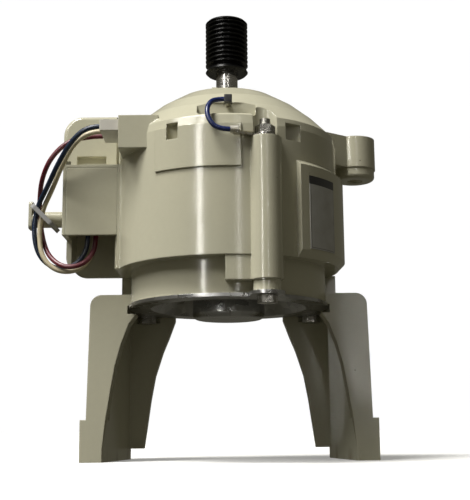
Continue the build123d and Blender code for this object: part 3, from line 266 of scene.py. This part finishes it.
# %% [markdown]
# ## Threads on the bolt ends
# The three through-bolts end in short studs over their nuts. A cylinder there looks like a pin, because
# an M5 bolt shows its thread. A thread is a function of two parameters, the height and the angle: the
# radius rises and falls with the height, and one turn round shifts that wave by one pitch of 0.8 mm.

# %% Cut the threads
def thread_points(x, y, low, high, radius, depth, pitch):
    """Sleeve round a stud: radius at (height, angle) is the crest's radius less the depth times a
    triangle wave of height / pitch - angle / full turn. Its inner wall is hidden in the stud, and
    closes the sleeve at both ends."""
    height = np.linspace(low, high, int((high - low) / pitch * 10) + 1)
    around = 40
    angle = np.arange(around) * 2 * math.pi / around
    phase = height[:, None] / pitch - angle[None, :] / (2 * math.pi)
    wave = np.abs(2 * (phase - np.floor(phase + 0.5)))
    reach = radius - depth * wave
    inner = np.full((1, around), radius - 2 * depth)
    reach = np.concatenate([inner, reach, inner])
    height = np.concatenate([[low], height, [high]])
    tall = np.broadcast_to(height[:, None], reach.shape)
    return np.stack([reach * np.cos(angle) + x, reach * np.sin(angle) + y, tall], axis=-1)


bolt_places = {
    "front": (17.48, -50.49, 150.5), "left": (-43.03, 33.98, 149.7), "right": (43.03, 33.98, 149.7),
}
stud_rise, crest, thread_depth, thread_pitch = 1.3 * MM, 2.6 * MM, 0.16 * MM, 0.8 * MM
for side, (x, y, nut_top) in bolt_places.items():
    x, y, low = in_metres((x, y, nut_top))
    sleeve = thread_points(x, y, low, low + stud_rise, crest, thread_depth, thread_pitch)
    thread = grid_piece(f"stud_thread_{side}", sleeve[::-1], wrap_rows=True)
    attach(thread, "housing")
print("threads cut on", ", ".join(bolt_places))

# %% [markdown]
# ## The preload washer
# Under the lower bearing lies a wave washer, which pushes on the outer ring and takes up its play. It
# is a flat ring of thin spring steel bent into three gentle waves, so its height is a sine of the
# angle. The ring is a sheet with two faces, closed along both rims.

# %% Bend the wave washer
def wave_ring_points(inner, outer, low, high, sheet, waves):
    """Closed section carried round the axis: four corners, inner and outer radius by lower and upper
    face, lifted by half the free height times (1 + sine of waves times the angle)."""
    around = 144
    angle = np.arange(around) * 2 * math.pi / around
    lift = (high - low - sheet) / 2 * (1 + np.sin(waves * angle))
    radius = np.array([inner, outer, outer, inner])
    face = np.array([0.0, 0.0, sheet, sheet])
    x = radius[None] * np.cos(angle)[:, None]
    y = radius[None] * np.sin(angle)[:, None]
    z = low + lift[:, None] + face[None]
    return np.stack([x, y, z], axis=-1)


washer_low, washer_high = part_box("wave_washer")
washer_bore, washer_sheet = 13.4 * MM, 0.4 * MM
washer = grid_piece(
    "wavy_washer",
    wave_ring_points(washer_bore, washer_high.x, washer_low.z, washer_high.z, washer_sheet, waves=3),
    wrap_rows=True,
)
washer.data.shade_flat()
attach(washer, "housing")
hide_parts("wave_washer")
print("washer free height", round((washer_high.z - washer_low.z) / MM, 2), "mm")

# %% [markdown]
# ## How the finishes are made
# Every finish is one Principled shader with its plain numbers on its own sockets, and patterns only for
# what varies over the surface: colour, roughness and height. The patterns read Object coordinates, so
# their scale is that of the real thing in metres: a noise of scale 100 has features about a centimetre
# wide. Small helpers keep each recipe down to a few lines.

# %% Helpers for the finishes
finishes = {}


def new_finish(slot, roughness=0.5, metallic=0.0, **sockets):
    """Principled material for one slot of the record, with plain values on the shader's sockets."""
    finish = bpy.data.materials.new(slot + "_finish")
    finish.use_nodes = True
    shader = finish.node_tree.nodes["Principled BSDF"]
    shader.inputs["Roughness"].default_value = roughness
    shader.inputs["Metallic"].default_value = metallic
    for name, value in sockets.items():
        shader.inputs[name.replace("_", " ")].default_value = value
    finishes[slot] = finish
    return finish.node_tree, shader


def add_node(tree, kind, inputs, **settings):
    """Shader node with its settings and inputs: a socket is linked, and anything else is set."""
    made = tree.nodes.new("ShaderNode" + kind)
    for name, value in settings.items():
        setattr(made, name, value)
    for key, value in inputs.items():
        if isinstance(value, bpy.types.NodeSocket):
            tree.links.new(value, made.inputs[key])
        else:
            made.inputs[key].default_value = value
    return made


def places_of(tree, stretch=(1, 1, 1)):
    """Object coordinates, stretched by three factors to lengthen or flatten a pattern."""
    coordinates = add_node(tree, "TexCoord", {}).outputs["Object"]
    return add_node(tree, "Mapping", {"Vector": coordinates, "Scale": stretch}).outputs["Vector"]


def noise(tree, scale, detail=3.0, stretch=(1, 1, 1)):
    """Cloudy pattern from 0 to 1 whose features are about 1 / scale metres wide."""
    inputs = {"Vector": places_of(tree, stretch), "Scale": scale, "Detail": detail}
    return add_node(tree, "TexNoise", inputs).outputs["Fac"]


def spread(tree, value, low, high, start=0.0, end=1.0):
    """Value taken from low..high to start..end, and held at the ends."""
    inputs = {"Value": value, "From Min": low, "From Max": high, "To Min": start, "To Max": end}
    return add_node(tree, "MapRange", inputs, clamp=True).outputs["Result"]


def sums(tree, operation, first, second=0.0, third=0.0):
    """One step of arithmetic on plain numbers or patterns."""
    return add_node(tree, "Math", {0: first, 1: second, 2: third}, operation=operation).outputs["Value"]


def product(tree, first, second):
    """Product of two plain numbers or patterns."""
    return sums(tree, "MULTIPLY", first, second)


def off_middle(tree, value, pitch):
    """How far a value is from the middle of its own step, where steps of one pitch repeat: 0 in the
    middle of each step, and 0.5 where one step meets the next."""
    share = sums(tree, "FRACT", sums(tree, "DIVIDE", value, pitch))
    return sums(tree, "ABSOLUTE", sums(tree, "SUBTRACT", share, 0.5))


def mixed(tree, share, first, second):
    """Colour that goes from the first to the second with the share."""
    mixer = add_node(tree, "Mix", {0: share}, data_type="RGBA")
    for index, colour in ((6, first), (7, second)):
        if isinstance(colour, bpy.types.NodeSocket):
            tree.links.new(colour, mixer.inputs[index])
        else:
            mixer.inputs[index].default_value = (*colour, 1.0)
    return mixer.outputs[2]


def relief(tree, shader, *layers, soften=0.0):
    """Stacks bumps, each a (height pattern, depth in metres), on edges rounded by soften metres."""
    normal = None
    if soften:
        normal = add_node(tree, "Bevel", {"Radius": soften}, samples=4).outputs["Normal"]
    for height, depth in layers:
        inputs = {"Height": height, "Distance": depth, "Strength": 1.0}
        if normal is not None:
            inputs["Normal"] = normal
        normal = add_node(tree, "Bump", inputs).outputs["Normal"]
    tree.links.new(normal, shader.inputs["Normal"])


def link(tree, shader, **sockets):
    """Patterns onto the shader's sockets, by name."""
    for name, value in sockets.items():
        tree.links.new(value, shader.inputs[name.replace("_", " ")])


def heights(tree):
    """The X, Y and Z of the Object coordinates, in metres."""
    parts = add_node(tree, "SeparateXYZ", {"Vector": places_of(tree)})
    return parts.outputs["X"], parts.outputs["Y"], parts.outputs["Z"]


# %% [markdown]
# ## Ivory moulding compound
# The housing, its cover and the tie pin are moulded from a glass-filled thermoset, ivory in colour and
# glossy where the mould was polished. Seen close it is never one colour: it yellows in clouds, carries
# scattered dark specks, and picks up grime round the feet. The gloss is broken by very shallow waves,
# which is what makes a long highlight wander. Edges are rounded by about half a millimetre in the
# shading, as a mould leaves them.

# %% Finish of the housing
tree, shader = new_finish("housing_plastic", roughness=0.3, Specular_IOR_Level=0.5)
x, y, z = heights(tree)
clouds = spread(tree, noise(tree, 22.0, 4.0), 0.3, 0.7)
tone = mixed(tree, clouds, (0.53, 0.51, 0.385), (0.495, 0.482, 0.37))
fine = spread(tree, noise(tree, 420.0, 4.0), 0.3, 0.75, 0.0, 0.2)
tone = mixed(tree, fine, tone, (0.45, 0.42, 0.32))
cells = add_node(tree, "TexVoronoi", {"Vector": places_of(tree), "Scale": 130.0, "Randomness": 1.0})
dot = spread(tree, cells.outputs["Distance"], 0.035, 0.055, 1.0, 0.0)
cell_tint = add_node(tree, "SeparateColor", {"Color": cells.outputs["Color"]}).outputs["Red"]
specks = product(tree, dot, spread(tree, cell_tint, 0.8, 0.82))
tone = mixed(tree, product(tree, specks, 0.75), tone, (0.09, 0.07, 0.05))
smudge = spread(tree, noise(tree, 90.0, 6.0, (1, 1, 0.4)), 0.52, 0.68)
low_down = spread(tree, z, 0.0, 0.012, 1.0, 0.0)
grime = product(tree, product(tree, smudge, low_down), 0.55)
tone = mixed(tree, grime, tone, (0.20, 0.16, 0.11))
gloss = spread(tree, noise(tree, 35.0, 4.0), 0.2, 0.8, 0.12, 0.2)
link(tree, shader, Base_Color=tone, Roughness=gloss)
relief(
    tree, shader,
    (noise(tree, 55.0, 2.0, (1, 1, 0.35)), 0.0003), (noise(tree, 900.0, 2.0), 0.00002), (specks, -0.00008),
    soften=0.0006,
)

# %% [markdown]
# ## Galvanised and zinc-plated steel
# The end shield is pressed from hot-dip galvanised sheet. Its zinc freezes in flat crystals, the
# spangle, so neighbouring patches differ a little in brightness and gloss, which a cell pattern gives
# at once. Bolts, nuts and washers are electroplated instead: finely grained, with darker blotches where
# the plating is thin.

# %% Finishes of the shield and the fasteners
tree, shader = new_finish("galvanised_steel", metallic=1.0, roughness=0.3)
spangle = add_node(tree, "TexVoronoi", {"Vector": places_of(tree), "Scale": 210.0}).outputs["Color"]
patch = add_node(tree, "SeparateColor", {"Color": spangle}).outputs["Red"]
stain = spread(tree, noise(tree, 60.0, 6.0), 0.5, 0.75)
tone = mixed(tree, spread(tree, patch, 0.0, 1.0, 0.2, 1.0), (0.26, 0.26, 0.26), (0.46, 0.46, 0.455))
tone = mixed(tree, product(tree, stain, 0.5), tone, (0.16, 0.15, 0.14))
dullness = sums(tree, "ADD", patch, stain)
link(tree, shader, Base_Color=tone, Roughness=spread(tree, dullness, 0.0, 2.0, 0.24, 0.5))
relief(tree, shader, (noise(tree, 500.0, 3.0), 0.00002), (patch, 0.000006), soften=0.0003)

tree, shader = new_finish("zinc_steel", metallic=1.0, roughness=0.25)
blotch = spread(tree, noise(tree, 350.0, 5.0), 0.4, 0.7)
tone = mixed(tree, blotch, (0.44, 0.43, 0.41), (0.24, 0.23, 0.20))
link(tree, shader, Base_Color=tone, Roughness=spread(tree, blotch, 0.0, 1.0, 0.2, 0.42))
relief(tree, shader, (noise(tree, 2500.0, 2.0), 0.00001), soften=0.00025)

tree, shader = new_finish("tinned_brass", metallic=1.0, roughness=0.3)
wear = spread(tree, noise(tree, 600.0, 5.0), 0.55, 0.75)
link(
    tree, shader,
    Base_Color=mixed(tree, wear, (0.56, 0.54, 0.48), (0.42, 0.33, 0.17)),
    Roughness=spread(tree, noise(tree, 800.0), 0.3, 0.7, 0.22, 0.42),
)
relief(tree, shader, (noise(tree, 1600.0, 3.0), 0.00002), soften=0.00015)

# %% [markdown]
# ## Turned and hardened steel
# The shaft is ground, which leaves fine rings round it: a noise squeezed flat along Z does that. Bearing
# steel is polished to a mirror, the cages are pressed from softer sheet, and spring steel keeps a dark
# straw-to-blue tint from its heat treatment.

# %% Finishes of the shaft, the bearings and the springs
tree, shader = new_finish("shaft_steel", metallic=1.0, roughness=0.25, Anisotropic=0.4)
rings = noise(tree, 120.0, 5.0, (1, 1, 30))
tarnish = spread(tree, noise(tree, 70.0, 5.0), 0.4, 0.7)
link(
    tree, shader,
    Base_Color=mixed(tree, tarnish, (0.46, 0.45, 0.43), (0.27, 0.24, 0.21)),
    Roughness=spread(tree, rings, 0.3, 0.7, 0.16, 0.34),
)
relief(tree, shader, (rings, 0.000012), soften=0.0003)

tree, shader = new_finish("bearing_steel", metallic=1.0, roughness=0.12)
film = noise(tree, 260.0, 3.0)
link(
    tree, shader,
    Base_Color=mixed(tree, film, (0.62, 0.61, 0.59), (0.48, 0.46, 0.42)),
    Roughness=spread(tree, film, 0.3, 0.7, 0.08, 0.2),
)

tree, shader = new_finish("cage_steel", metallic=1.0, roughness=0.35)
rolled = noise(tree, 300.0, 4.0, (1, 1, 4))
link(
    tree, shader,
    Base_Color=mixed(tree, rolled, (0.50, 0.47, 0.42), (0.36, 0.33, 0.29)),
    Roughness=spread(tree, rolled, 0.3, 0.7, 0.28, 0.46),
)
relief(tree, shader, (rolled, 0.00002))

tree, shader = new_finish("spring_steel", metallic=1.0, roughness=0.3)
temper = spread(tree, noise(tree, 45.0, 2.0), 0.35, 0.65)
link(
    tree, shader,
    Base_Color=mixed(tree, temper, (0.20, 0.16, 0.11), (0.10, 0.12, 0.17)),
    Roughness=spread(tree, noise(tree, 500.0), 0.3, 0.7, 0.24, 0.4),
)

# %% [markdown]
# ## The black pulley
# The pulley is machined with ten grooves for a ribbed belt and blackened all over. Its finish is deep
# black and glossy, so it shows only as highlights along each rib. Where the belt runs, the crests are
# rubbed a little greyer, in fine rings round the pulley.

# %% Finish of the pulley
tree, shader = new_finish("black_oxide_steel", roughness=0.28, metallic=0.0, Specular_IOR_Level=0.2)
rings = noise(tree, 90.0, 4.0, (1, 1, 22))
link(
    tree, shader,
    Base_Color=mixed(tree, spread(tree, rings, 0.5, 0.75), (0.0015, 0.0015, 0.0015), (0.006, 0.006, 0.006)),
    Roughness=spread(tree, rings, 0.3, 0.7, 0.2, 0.36),
)
relief(tree, shader, (rings, 0.00001), (noise(tree, 1200.0), 0.000006), soften=0.0003)

# %% [markdown]
# ## Laminations, magnets and end rings
# The stator and rotor cores are stacks of half-millimetre sheets, so their sides are ruled with fine
# level lines: a wave along Z with that pitch. Each sheet is a little bluer or browner than the next.
# Ferrite magnets are dull, dark and slightly gritty. The end rings are die-cast aluminium with a soft
# grain.

# %% Finishes of the cores, the magnets and the end rings
SHEET = 0.0005
tree, shader = new_finish("core_steel", metallic=1.0, roughness=0.4)
x, y, z = heights(tree)
edge = spread(tree, off_middle(tree, z, SHEET), 0.32, 0.5)
sheet_tint = add_node(
    tree, "TexWhiteNoise", {"W": sums(tree, "FLOOR", sums(tree, "DIVIDE", z, SHEET))}, noise_dimensions="1D"
).outputs["Value"]
tone = mixed(tree, sheet_tint, (0.20, 0.21, 0.24), (0.27, 0.25, 0.22))
rust = spread(tree, noise(tree, 120.0, 6.0), 0.56, 0.72, 0.0, 0.6)
tone = mixed(tree, rust, mixed(tree, edge, tone, (0.05, 0.05, 0.055)), (0.17, 0.09, 0.05))
link(tree, shader, Base_Color=tone, Roughness=spread(tree, sheet_tint, 0.0, 1.0, 0.34, 0.5))
relief(tree, shader, (edge, -0.00004), (noise(tree, 900.0), 0.00001))

tree, shader = new_finish("magnet_ferrite", roughness=0.6, Specular_IOR_Level=0.4)
grit = noise(tree, 1400.0, 4.0)
link(
    tree, shader,
    Base_Color=mixed(tree, spread(tree, grit, 0.35, 0.7), (0.030, 0.031, 0.034), (0.062, 0.061, 0.060)),
    Roughness=spread(tree, grit, 0.3, 0.7, 0.5, 0.75),
)
relief(tree, shader, (grit, 0.00003), soften=0.0002)

tree, shader = new_finish("end_ring_aluminium", metallic=1.0, roughness=0.4)
skin = noise(tree, 480.0, 5.0)
link(
    tree, shader,
    Base_Color=mixed(tree, spread(tree, skin, 0.3, 0.7), (0.60, 0.60, 0.61), (0.47, 0.47, 0.48)),
    Roughness=spread(tree, skin, 0.3, 0.7, 0.32, 0.5),
)
relief(tree, shader, (skin, 0.00004), soften=0.0003)

# %% [markdown]
# ## Enamelled copper and insulators
# Winding wire is copper under clear enamel, so it is a red metal with a glassy coat, darker where
# varnish has soaked between the turns. The slot insulators are moulded from a pale glass-filled nylon
# with visible fibres, drawn here as short stretched noise.

# %% Finishes of the wire and its insulators
tree, shader = new_finish(
    "enamelled_copper", metallic=1.0, roughness=0.3, Coat_Weight=0.6, Coat_Roughness=0.12,
)
varnish = spread(tree, noise(tree, 140.0, 5.0), 0.4, 0.7)
link(
    tree, shader,
    Base_Color=mixed(tree, varnish, (0.62, 0.25, 0.12), (0.32, 0.11, 0.05)),
    Roughness=spread(tree, noise(tree, 700.0), 0.3, 0.7, 0.22, 0.4),
)

tree, shader = new_finish("insulator_plastic", roughness=0.45)
fibres = noise(tree, 260.0, 5.0, (1, 6, 1))
link(
    tree, shader,
    Base_Color=mixed(tree, spread(tree, fibres, 0.35, 0.7), (0.62, 0.60, 0.52), (0.47, 0.45, 0.37)),
    Roughness=spread(tree, fibres, 0.3, 0.7, 0.38, 0.56),
)
relief(tree, shader, (fibres, 0.00002), soften=0.0003)

# %% [markdown]
# ## The insulation of the leads
# Lead insulation is soft extruded vinyl: even colour, a satin gloss and a faint waviness along the
# lead where it was cooled and handled. The three phase leads are navy, cream and crimson, and the earth
# lead is a stronger blue. Dust dulls them in patches.

# %% Finishes of the four leads
lead_colours = {
    "blue_insulation": ((0.010, 0.022, 0.055), (0.020, 0.036, 0.070), 0.34),
    "white_insulation": ((0.60, 0.53, 0.36), (0.50, 0.43, 0.29), 0.42),
    "red_insulation": ((0.13, 0.012, 0.024), (0.17, 0.045, 0.055), 0.36),
    "earth_insulation": ((0.008, 0.018, 0.100), (0.020, 0.035, 0.125), 0.28),
}
for slot, (clean, dusty, roughness) in lead_colours.items():
    tree, shader = new_finish(slot, roughness=roughness, Specular_IOR_Level=0.45)
    dust = spread(tree, noise(tree, 160.0, 5.0), 0.45, 0.7)
    link(
        tree, shader,
        Base_Color=mixed(tree, dust, clean, dusty),
        Roughness=spread(tree, dust, 0.0, 1.0, roughness - 0.06, roughness + 0.14),
    )
    relief(tree, shader, (noise(tree, 260.0, 2.0), 0.00006), (noise(tree, 1800.0, 2.0), 0.00001))

# %% [markdown]
# ## Nylon, rubber and vinyl trim
# The plug is unfilled white nylon, with a small dent over each contact, coloured near black as painted
# shade in the dent.
# The cable tie is grey nylon, ribbed across its strap. The grommet is matt rubber, and the boot on the
# earth blade is dark vinyl with a soft shine.

# %% Finishes of the plug, the tie, the grommet and the boot
tree, shader = new_finish("plug_nylon", roughness=0.4)
x, y, z = heights(tree)
contact_pitch, contacts_start, contact_hole_middle, plug_top = 0.00396, -0.03947, -0.0562, 0.158
row = off_middle(tree, sums(tree, "SUBTRACT", y, contacts_start), contact_pitch)
on_top = spread(tree, z, plug_top - 0.0001, plug_top + 0.0001)
# Mask of the dents over the contacts on the plug's top, used for their painted shade and their depth.
contact_hole_shade = product(tree, spread(tree, row, 0.2, 0.23, 1.0, 0.0), on_top)
reach = sums(tree, "ABSOLUTE", sums(tree, "SUBTRACT", x, contact_hole_middle))
contact_hole_shade = product(tree, contact_hole_shade, spread(tree, reach, 0.0013, 0.0015, 1.0, 0.0))
milky = spread(tree, noise(tree, 110.0, 3.0), 0.3, 0.7)
nylon = mixed(tree, milky, (0.58, 0.56, 0.50), (0.50, 0.48, 0.42))
# Painted shade: the dents over the contacts are coloured near black for the shade inside them.
tone = mixed(tree, contact_hole_shade, nylon, (0.05, 0.045, 0.04))
link(tree, shader, Base_Color=tone, Roughness=spread(tree, milky, 0.0, 1.0, 0.34, 0.48))
relief(tree, shader, (contact_hole_shade, -0.0003), (noise(tree, 700.0), 0.00001), soften=0.0003)

tree, shader = new_finish("tie_nylon", roughness=0.4)
x, y, z = heights(tree)
RUNG_PITCH = 0.0012
rung = off_middle(tree, y, RUNG_PITCH)
cloud = noise(tree, 180.0, 3.0)
link(
    tree, shader,
    Base_Color=mixed(tree, cloud, (0.30, 0.30, 0.30), (0.22, 0.22, 0.215)),
    Roughness=spread(tree, cloud, 0.3, 0.7, 0.34, 0.48),
)
relief(tree, shader, (spread(tree, rung, 0.2, 0.4), 0.00010), soften=0.0002)

tree, shader = new_finish("black_rubber", roughness=0.65, Specular_IOR_Level=0.35)
bloom = spread(tree, noise(tree, 220.0, 6.0), 0.45, 0.75)
link(
    tree, shader,
    Base_Color=mixed(tree, bloom, (0.014, 0.014, 0.014), (0.045, 0.043, 0.040)),
    Roughness=spread(tree, bloom, 0.0, 1.0, 0.55, 0.8),
)
relief(tree, shader, (noise(tree, 1500.0, 3.0), 0.00003), soften=0.0003)

tree, shader = new_finish("boot_plastic", roughness=0.35)
haze = noise(tree, 240.0, 4.0)
link(
    tree, shader,
    Base_Color=mixed(tree, haze, (0.012, 0.013, 0.018), (0.030, 0.030, 0.034)),
    Roughness=spread(tree, haze, 0.3, 0.7, 0.28, 0.46),
)
relief(tree, shader, (noise(tree, 900.0, 2.0), 0.00003), soften=0.0004)

# %% [markdown]
# ## The circuit board, its sensors and the bare label
# The sensor board is green glass laminate with copper tracks under its lacquer: rings round the shaft,
# broken by a noise, stand in for the tracks. The sensors are small black packages. The label is silver
# film, left bare, with one plain dark band along its top and a fine dark edge line.

# %% Finishes of the board, the sensors and the label
tree, shader = new_finish("board_laminate", roughness=0.3, Coat_Weight=0.4, Coat_Roughness=0.2)
x, y, z = heights(tree)
radius = sums(tree, "SQRT", sums(tree, "ADD", sums(tree, "POWER", x, 2.0), sums(tree, "POWER", y, 2.0)))
TRACK_PITCH = 0.0024
ring = spread(tree, off_middle(tree, radius, TRACK_PITCH), 0.14, 0.18, 1.0, 0.0)
track = product(tree, ring, spread(tree, noise(tree, 60.0, 1.0), 0.47, 0.49))
tone = mixed(tree, track, (0.012, 0.075, 0.040), (0.035, 0.150, 0.060))
link(tree, shader, Base_Color=tone, Roughness=spread(tree, noise(tree, 300.0), 0.3, 0.7, 0.24, 0.38))
relief(tree, shader, (track, 0.00004))

tree, shader = new_finish("black_plastic", roughness=0.5)
grain = noise(tree, 1100.0, 3.0)
link(
    tree, shader,
    Base_Color=mixed(tree, grain, (0.016, 0.016, 0.017), (0.034, 0.033, 0.033)),
    Roughness=spread(tree, grain, 0.3, 0.7, 0.42, 0.6),
)
relief(tree, shader, (grain, 0.00002), soften=0.0002)

tree, shader = new_finish("label_film", roughness=0.35, metallic=0.0, Coat_Weight=0.35, Coat_Roughness=0.15)
x, y, z = heights(tree)
angle = sums(tree, "ARCTAN2", y, x)
BAND_FOOT, LABEL_MIDDLE, LABEL_TURN = 0.12505, 0.1120, math.radians(39.5)
band = spread(tree, z, BAND_FOOT, BAND_FOOT + 0.00015)
from_middle = sums(tree, "ABSOLUTE", sums(tree, "SUBTRACT", z, LABEL_MIDDLE))
across = sums(tree, "ABSOLUTE", sums(tree, "ADD", angle, LABEL_TURN))


def outside(half_height, half_turn):
    """1 beyond a rectangle round the label's middle, half_height in metres and half_turn in radians."""
    above = spread(tree, from_middle, half_height, half_height + 0.00015)
    beside = spread(tree, across, half_turn, half_turn + 0.0020)
    return sums(tree, "MAXIMUM", above, beside)


line = sums(tree, "SUBTRACT", outside(0.01615, 0.1520), outside(0.01645, 0.1570))
paper = spread(tree, noise(tree, 120.0, 5.0), 0.35, 0.7)
tone = mixed(tree, paper, (0.46, 0.46, 0.45), (0.38, 0.37, 0.35))
tone = mixed(tree, product(tree, line, 0.7), tone, (0.06, 0.06, 0.06))
tone = mixed(tree, band, tone, (0.016, 0.016, 0.020))
link(tree, shader, Base_Color=tone, Roughness=spread(tree, paper, 0.0, 1.0, 0.28, 0.42))
relief(tree, shader, (noise(tree, 200.0, 2.0), 0.00003))

# %% [markdown]
# ## Dressing the pieces
# Each CAD node already names its material slot, so one loop gives every node the finish of its slot.

# %% Give every piece its finish
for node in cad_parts.values():
    slot = node.material_slots[0].material.name.split(".")[0]
    node.material_slots[0].material = finishes[slot]
for name, lead in leads.items():
    lead.data.materials.append(finishes[lead_facts[name][2]])
windings.data.materials.append(finishes["enamelled_copper"])
washer.data.materials.append(finishes["spring_steel"])
for side in bolt_places:
    bpy.data.objects[f"stud_thread_{side}"].data.materials.append(finishes["zinc_steel"])
print("finishes:", len(finishes))

# %% [markdown]
# ## The studio
# The motor stands on a pale floor in front of a plain white surround. The surround is a large bright
# dome that only gives the picture its background and lights nothing. The main light comes from high on
# the left, and a broad soft lamp on the same side fills the walls. Two tall narrow lamps are seen by
# the gloss alone: each draws one upright streak on the drum, at the place where the drum mirrors it. A
# faint warm light from all round keeps the shadows from going black.

# %% Floor and surround
floor_mesh = bpy.data.meshes.new("studio_floor")
floor_mesh.from_pydata([(-3, -3, 0), (3, -3, 0), (3, 3, 0), (-3, 3, 0)], [], [(0, 1, 2, 3)])
floor = bpy.data.objects.new("studio_floor", floor_mesh)
scene.collection.objects.link(floor)
paint = bpy.data.materials.new("floor_paint")
paint.use_nodes = True
shader = paint.node_tree.nodes["Principled BSDF"]
shader.inputs["Roughness"].default_value = 0.7
shader.inputs["Emission Color"].default_value = (1, 1, 1, 1)
shader.inputs["Emission Strength"].default_value = 0.25
tone = mixed(paint.node_tree, noise(paint.node_tree, 3.0, 3.0), (0.84, 0.84, 0.83), (0.80, 0.80, 0.79))
link(paint.node_tree, shader, Base_Color=tone)
floor_mesh.materials.append(paint)

SURROUND_RADIUS, MERIDIANS = 4.0, 48
turns = np.arange(MERIDIANS) * 2 * math.pi / MERIDIANS
v, u = np.meshgrid(np.linspace(-1.5, 1.5, 25), turns, indexing="ij")
dome = SURROUND_RADIUS * np.stack([np.cos(v) * np.cos(u), np.cos(v) * np.sin(u), np.sin(v)], axis=-1)
surround = grid_piece("studio_surround", dome)
glow = bpy.data.materials.new("surround_glow")
glow.use_nodes = True
shader = glow.node_tree.nodes["Principled BSDF"]
shader.inputs["Base Color"].default_value = (0, 0, 0, 1)
shader.inputs["Emission Color"].default_value = (1, 1, 1, 1)
shader.inputs["Emission Strength"].default_value = 1.0
surround.data.materials.append(glow)
surround.visible_diffuse = surround.visible_glossy = surround.visible_shadow = False
floor.visible_glossy = floor.visible_diffuse = False

# %% Lamps
def soft_lamp(name, place, target, width, height, power, colour=(1.0, 0.98, 0.94)):
    """Rectangular lamp at a place, turned to face its target."""
    data = bpy.data.lights.new(name, "AREA")
    data.shape = "RECTANGLE"
    data.size, data.size_y = width, height
    data.energy = power
    data.color = colour
    lamp = bpy.data.objects.new(name, data)
    away = np.asarray(place, dtype=float) - np.asarray(target, dtype=float)
    away /= np.linalg.norm(away)
    side = np.cross([0.0, 0.0, 1.0], away)
    side /= np.linalg.norm(side)
    axes = np.column_stack([side, np.cross(away, side), away])
    lamp.matrix_world = Matrix.Translation(place) @ Matrix(axes.tolist()).to_4x4()
    scene.collection.objects.link(lamp)
    return lamp


def on_circle(radius, degrees, height):
    """Place on a circle round the motor, with the angle counted from the viewer's side to the right."""
    turn = math.radians(degrees)
    return (radius * math.sin(turn), -radius * math.cos(turn), height)


middle = (0.0, 0.0, 0.12)
sky = bpy.data.lights.new("ceiling_light", "SUN")
sky.energy = 3.8
sky.angle = math.radians(20)
sky.color = (1.0, 0.985, 0.95)
ceiling = bpy.data.objects.new("ceiling_light", sky)
ceiling.rotation_euler = (math.radians(14), math.radians(-22), 0)
scene.collection.objects.link(ceiling)
left_streak = soft_lamp(
    "left_streak_lamp", on_circle(radius=1.1, degrees=-27, height=0.42), middle, width=0.035, height=0.9,
    power=4.6,
)
soft_lamp(
    "left_broad_lamp", on_circle(radius=0.92, degrees=-46, height=0.9), middle, width=0.45, height=0.45,
    power=7.5,
)
right_streak = soft_lamp(
    "right_streak_lamp", on_circle(radius=1.1, degrees=11, height=0.45), middle, width=0.015, height=0.8,
    power=1.0,
)
left_streak.visible_diffuse = right_streak.visible_diffuse = False
world = bpy.data.worlds.new("studio_world")
world.use_nodes = True
background = world.node_tree.nodes["Background"]
background.inputs["Color"].default_value = (1.0, 0.95, 0.76, 1)
background.inputs["Strength"].default_value = 0.11
scene.world = world
scene.view_settings.view_transform = "Standard"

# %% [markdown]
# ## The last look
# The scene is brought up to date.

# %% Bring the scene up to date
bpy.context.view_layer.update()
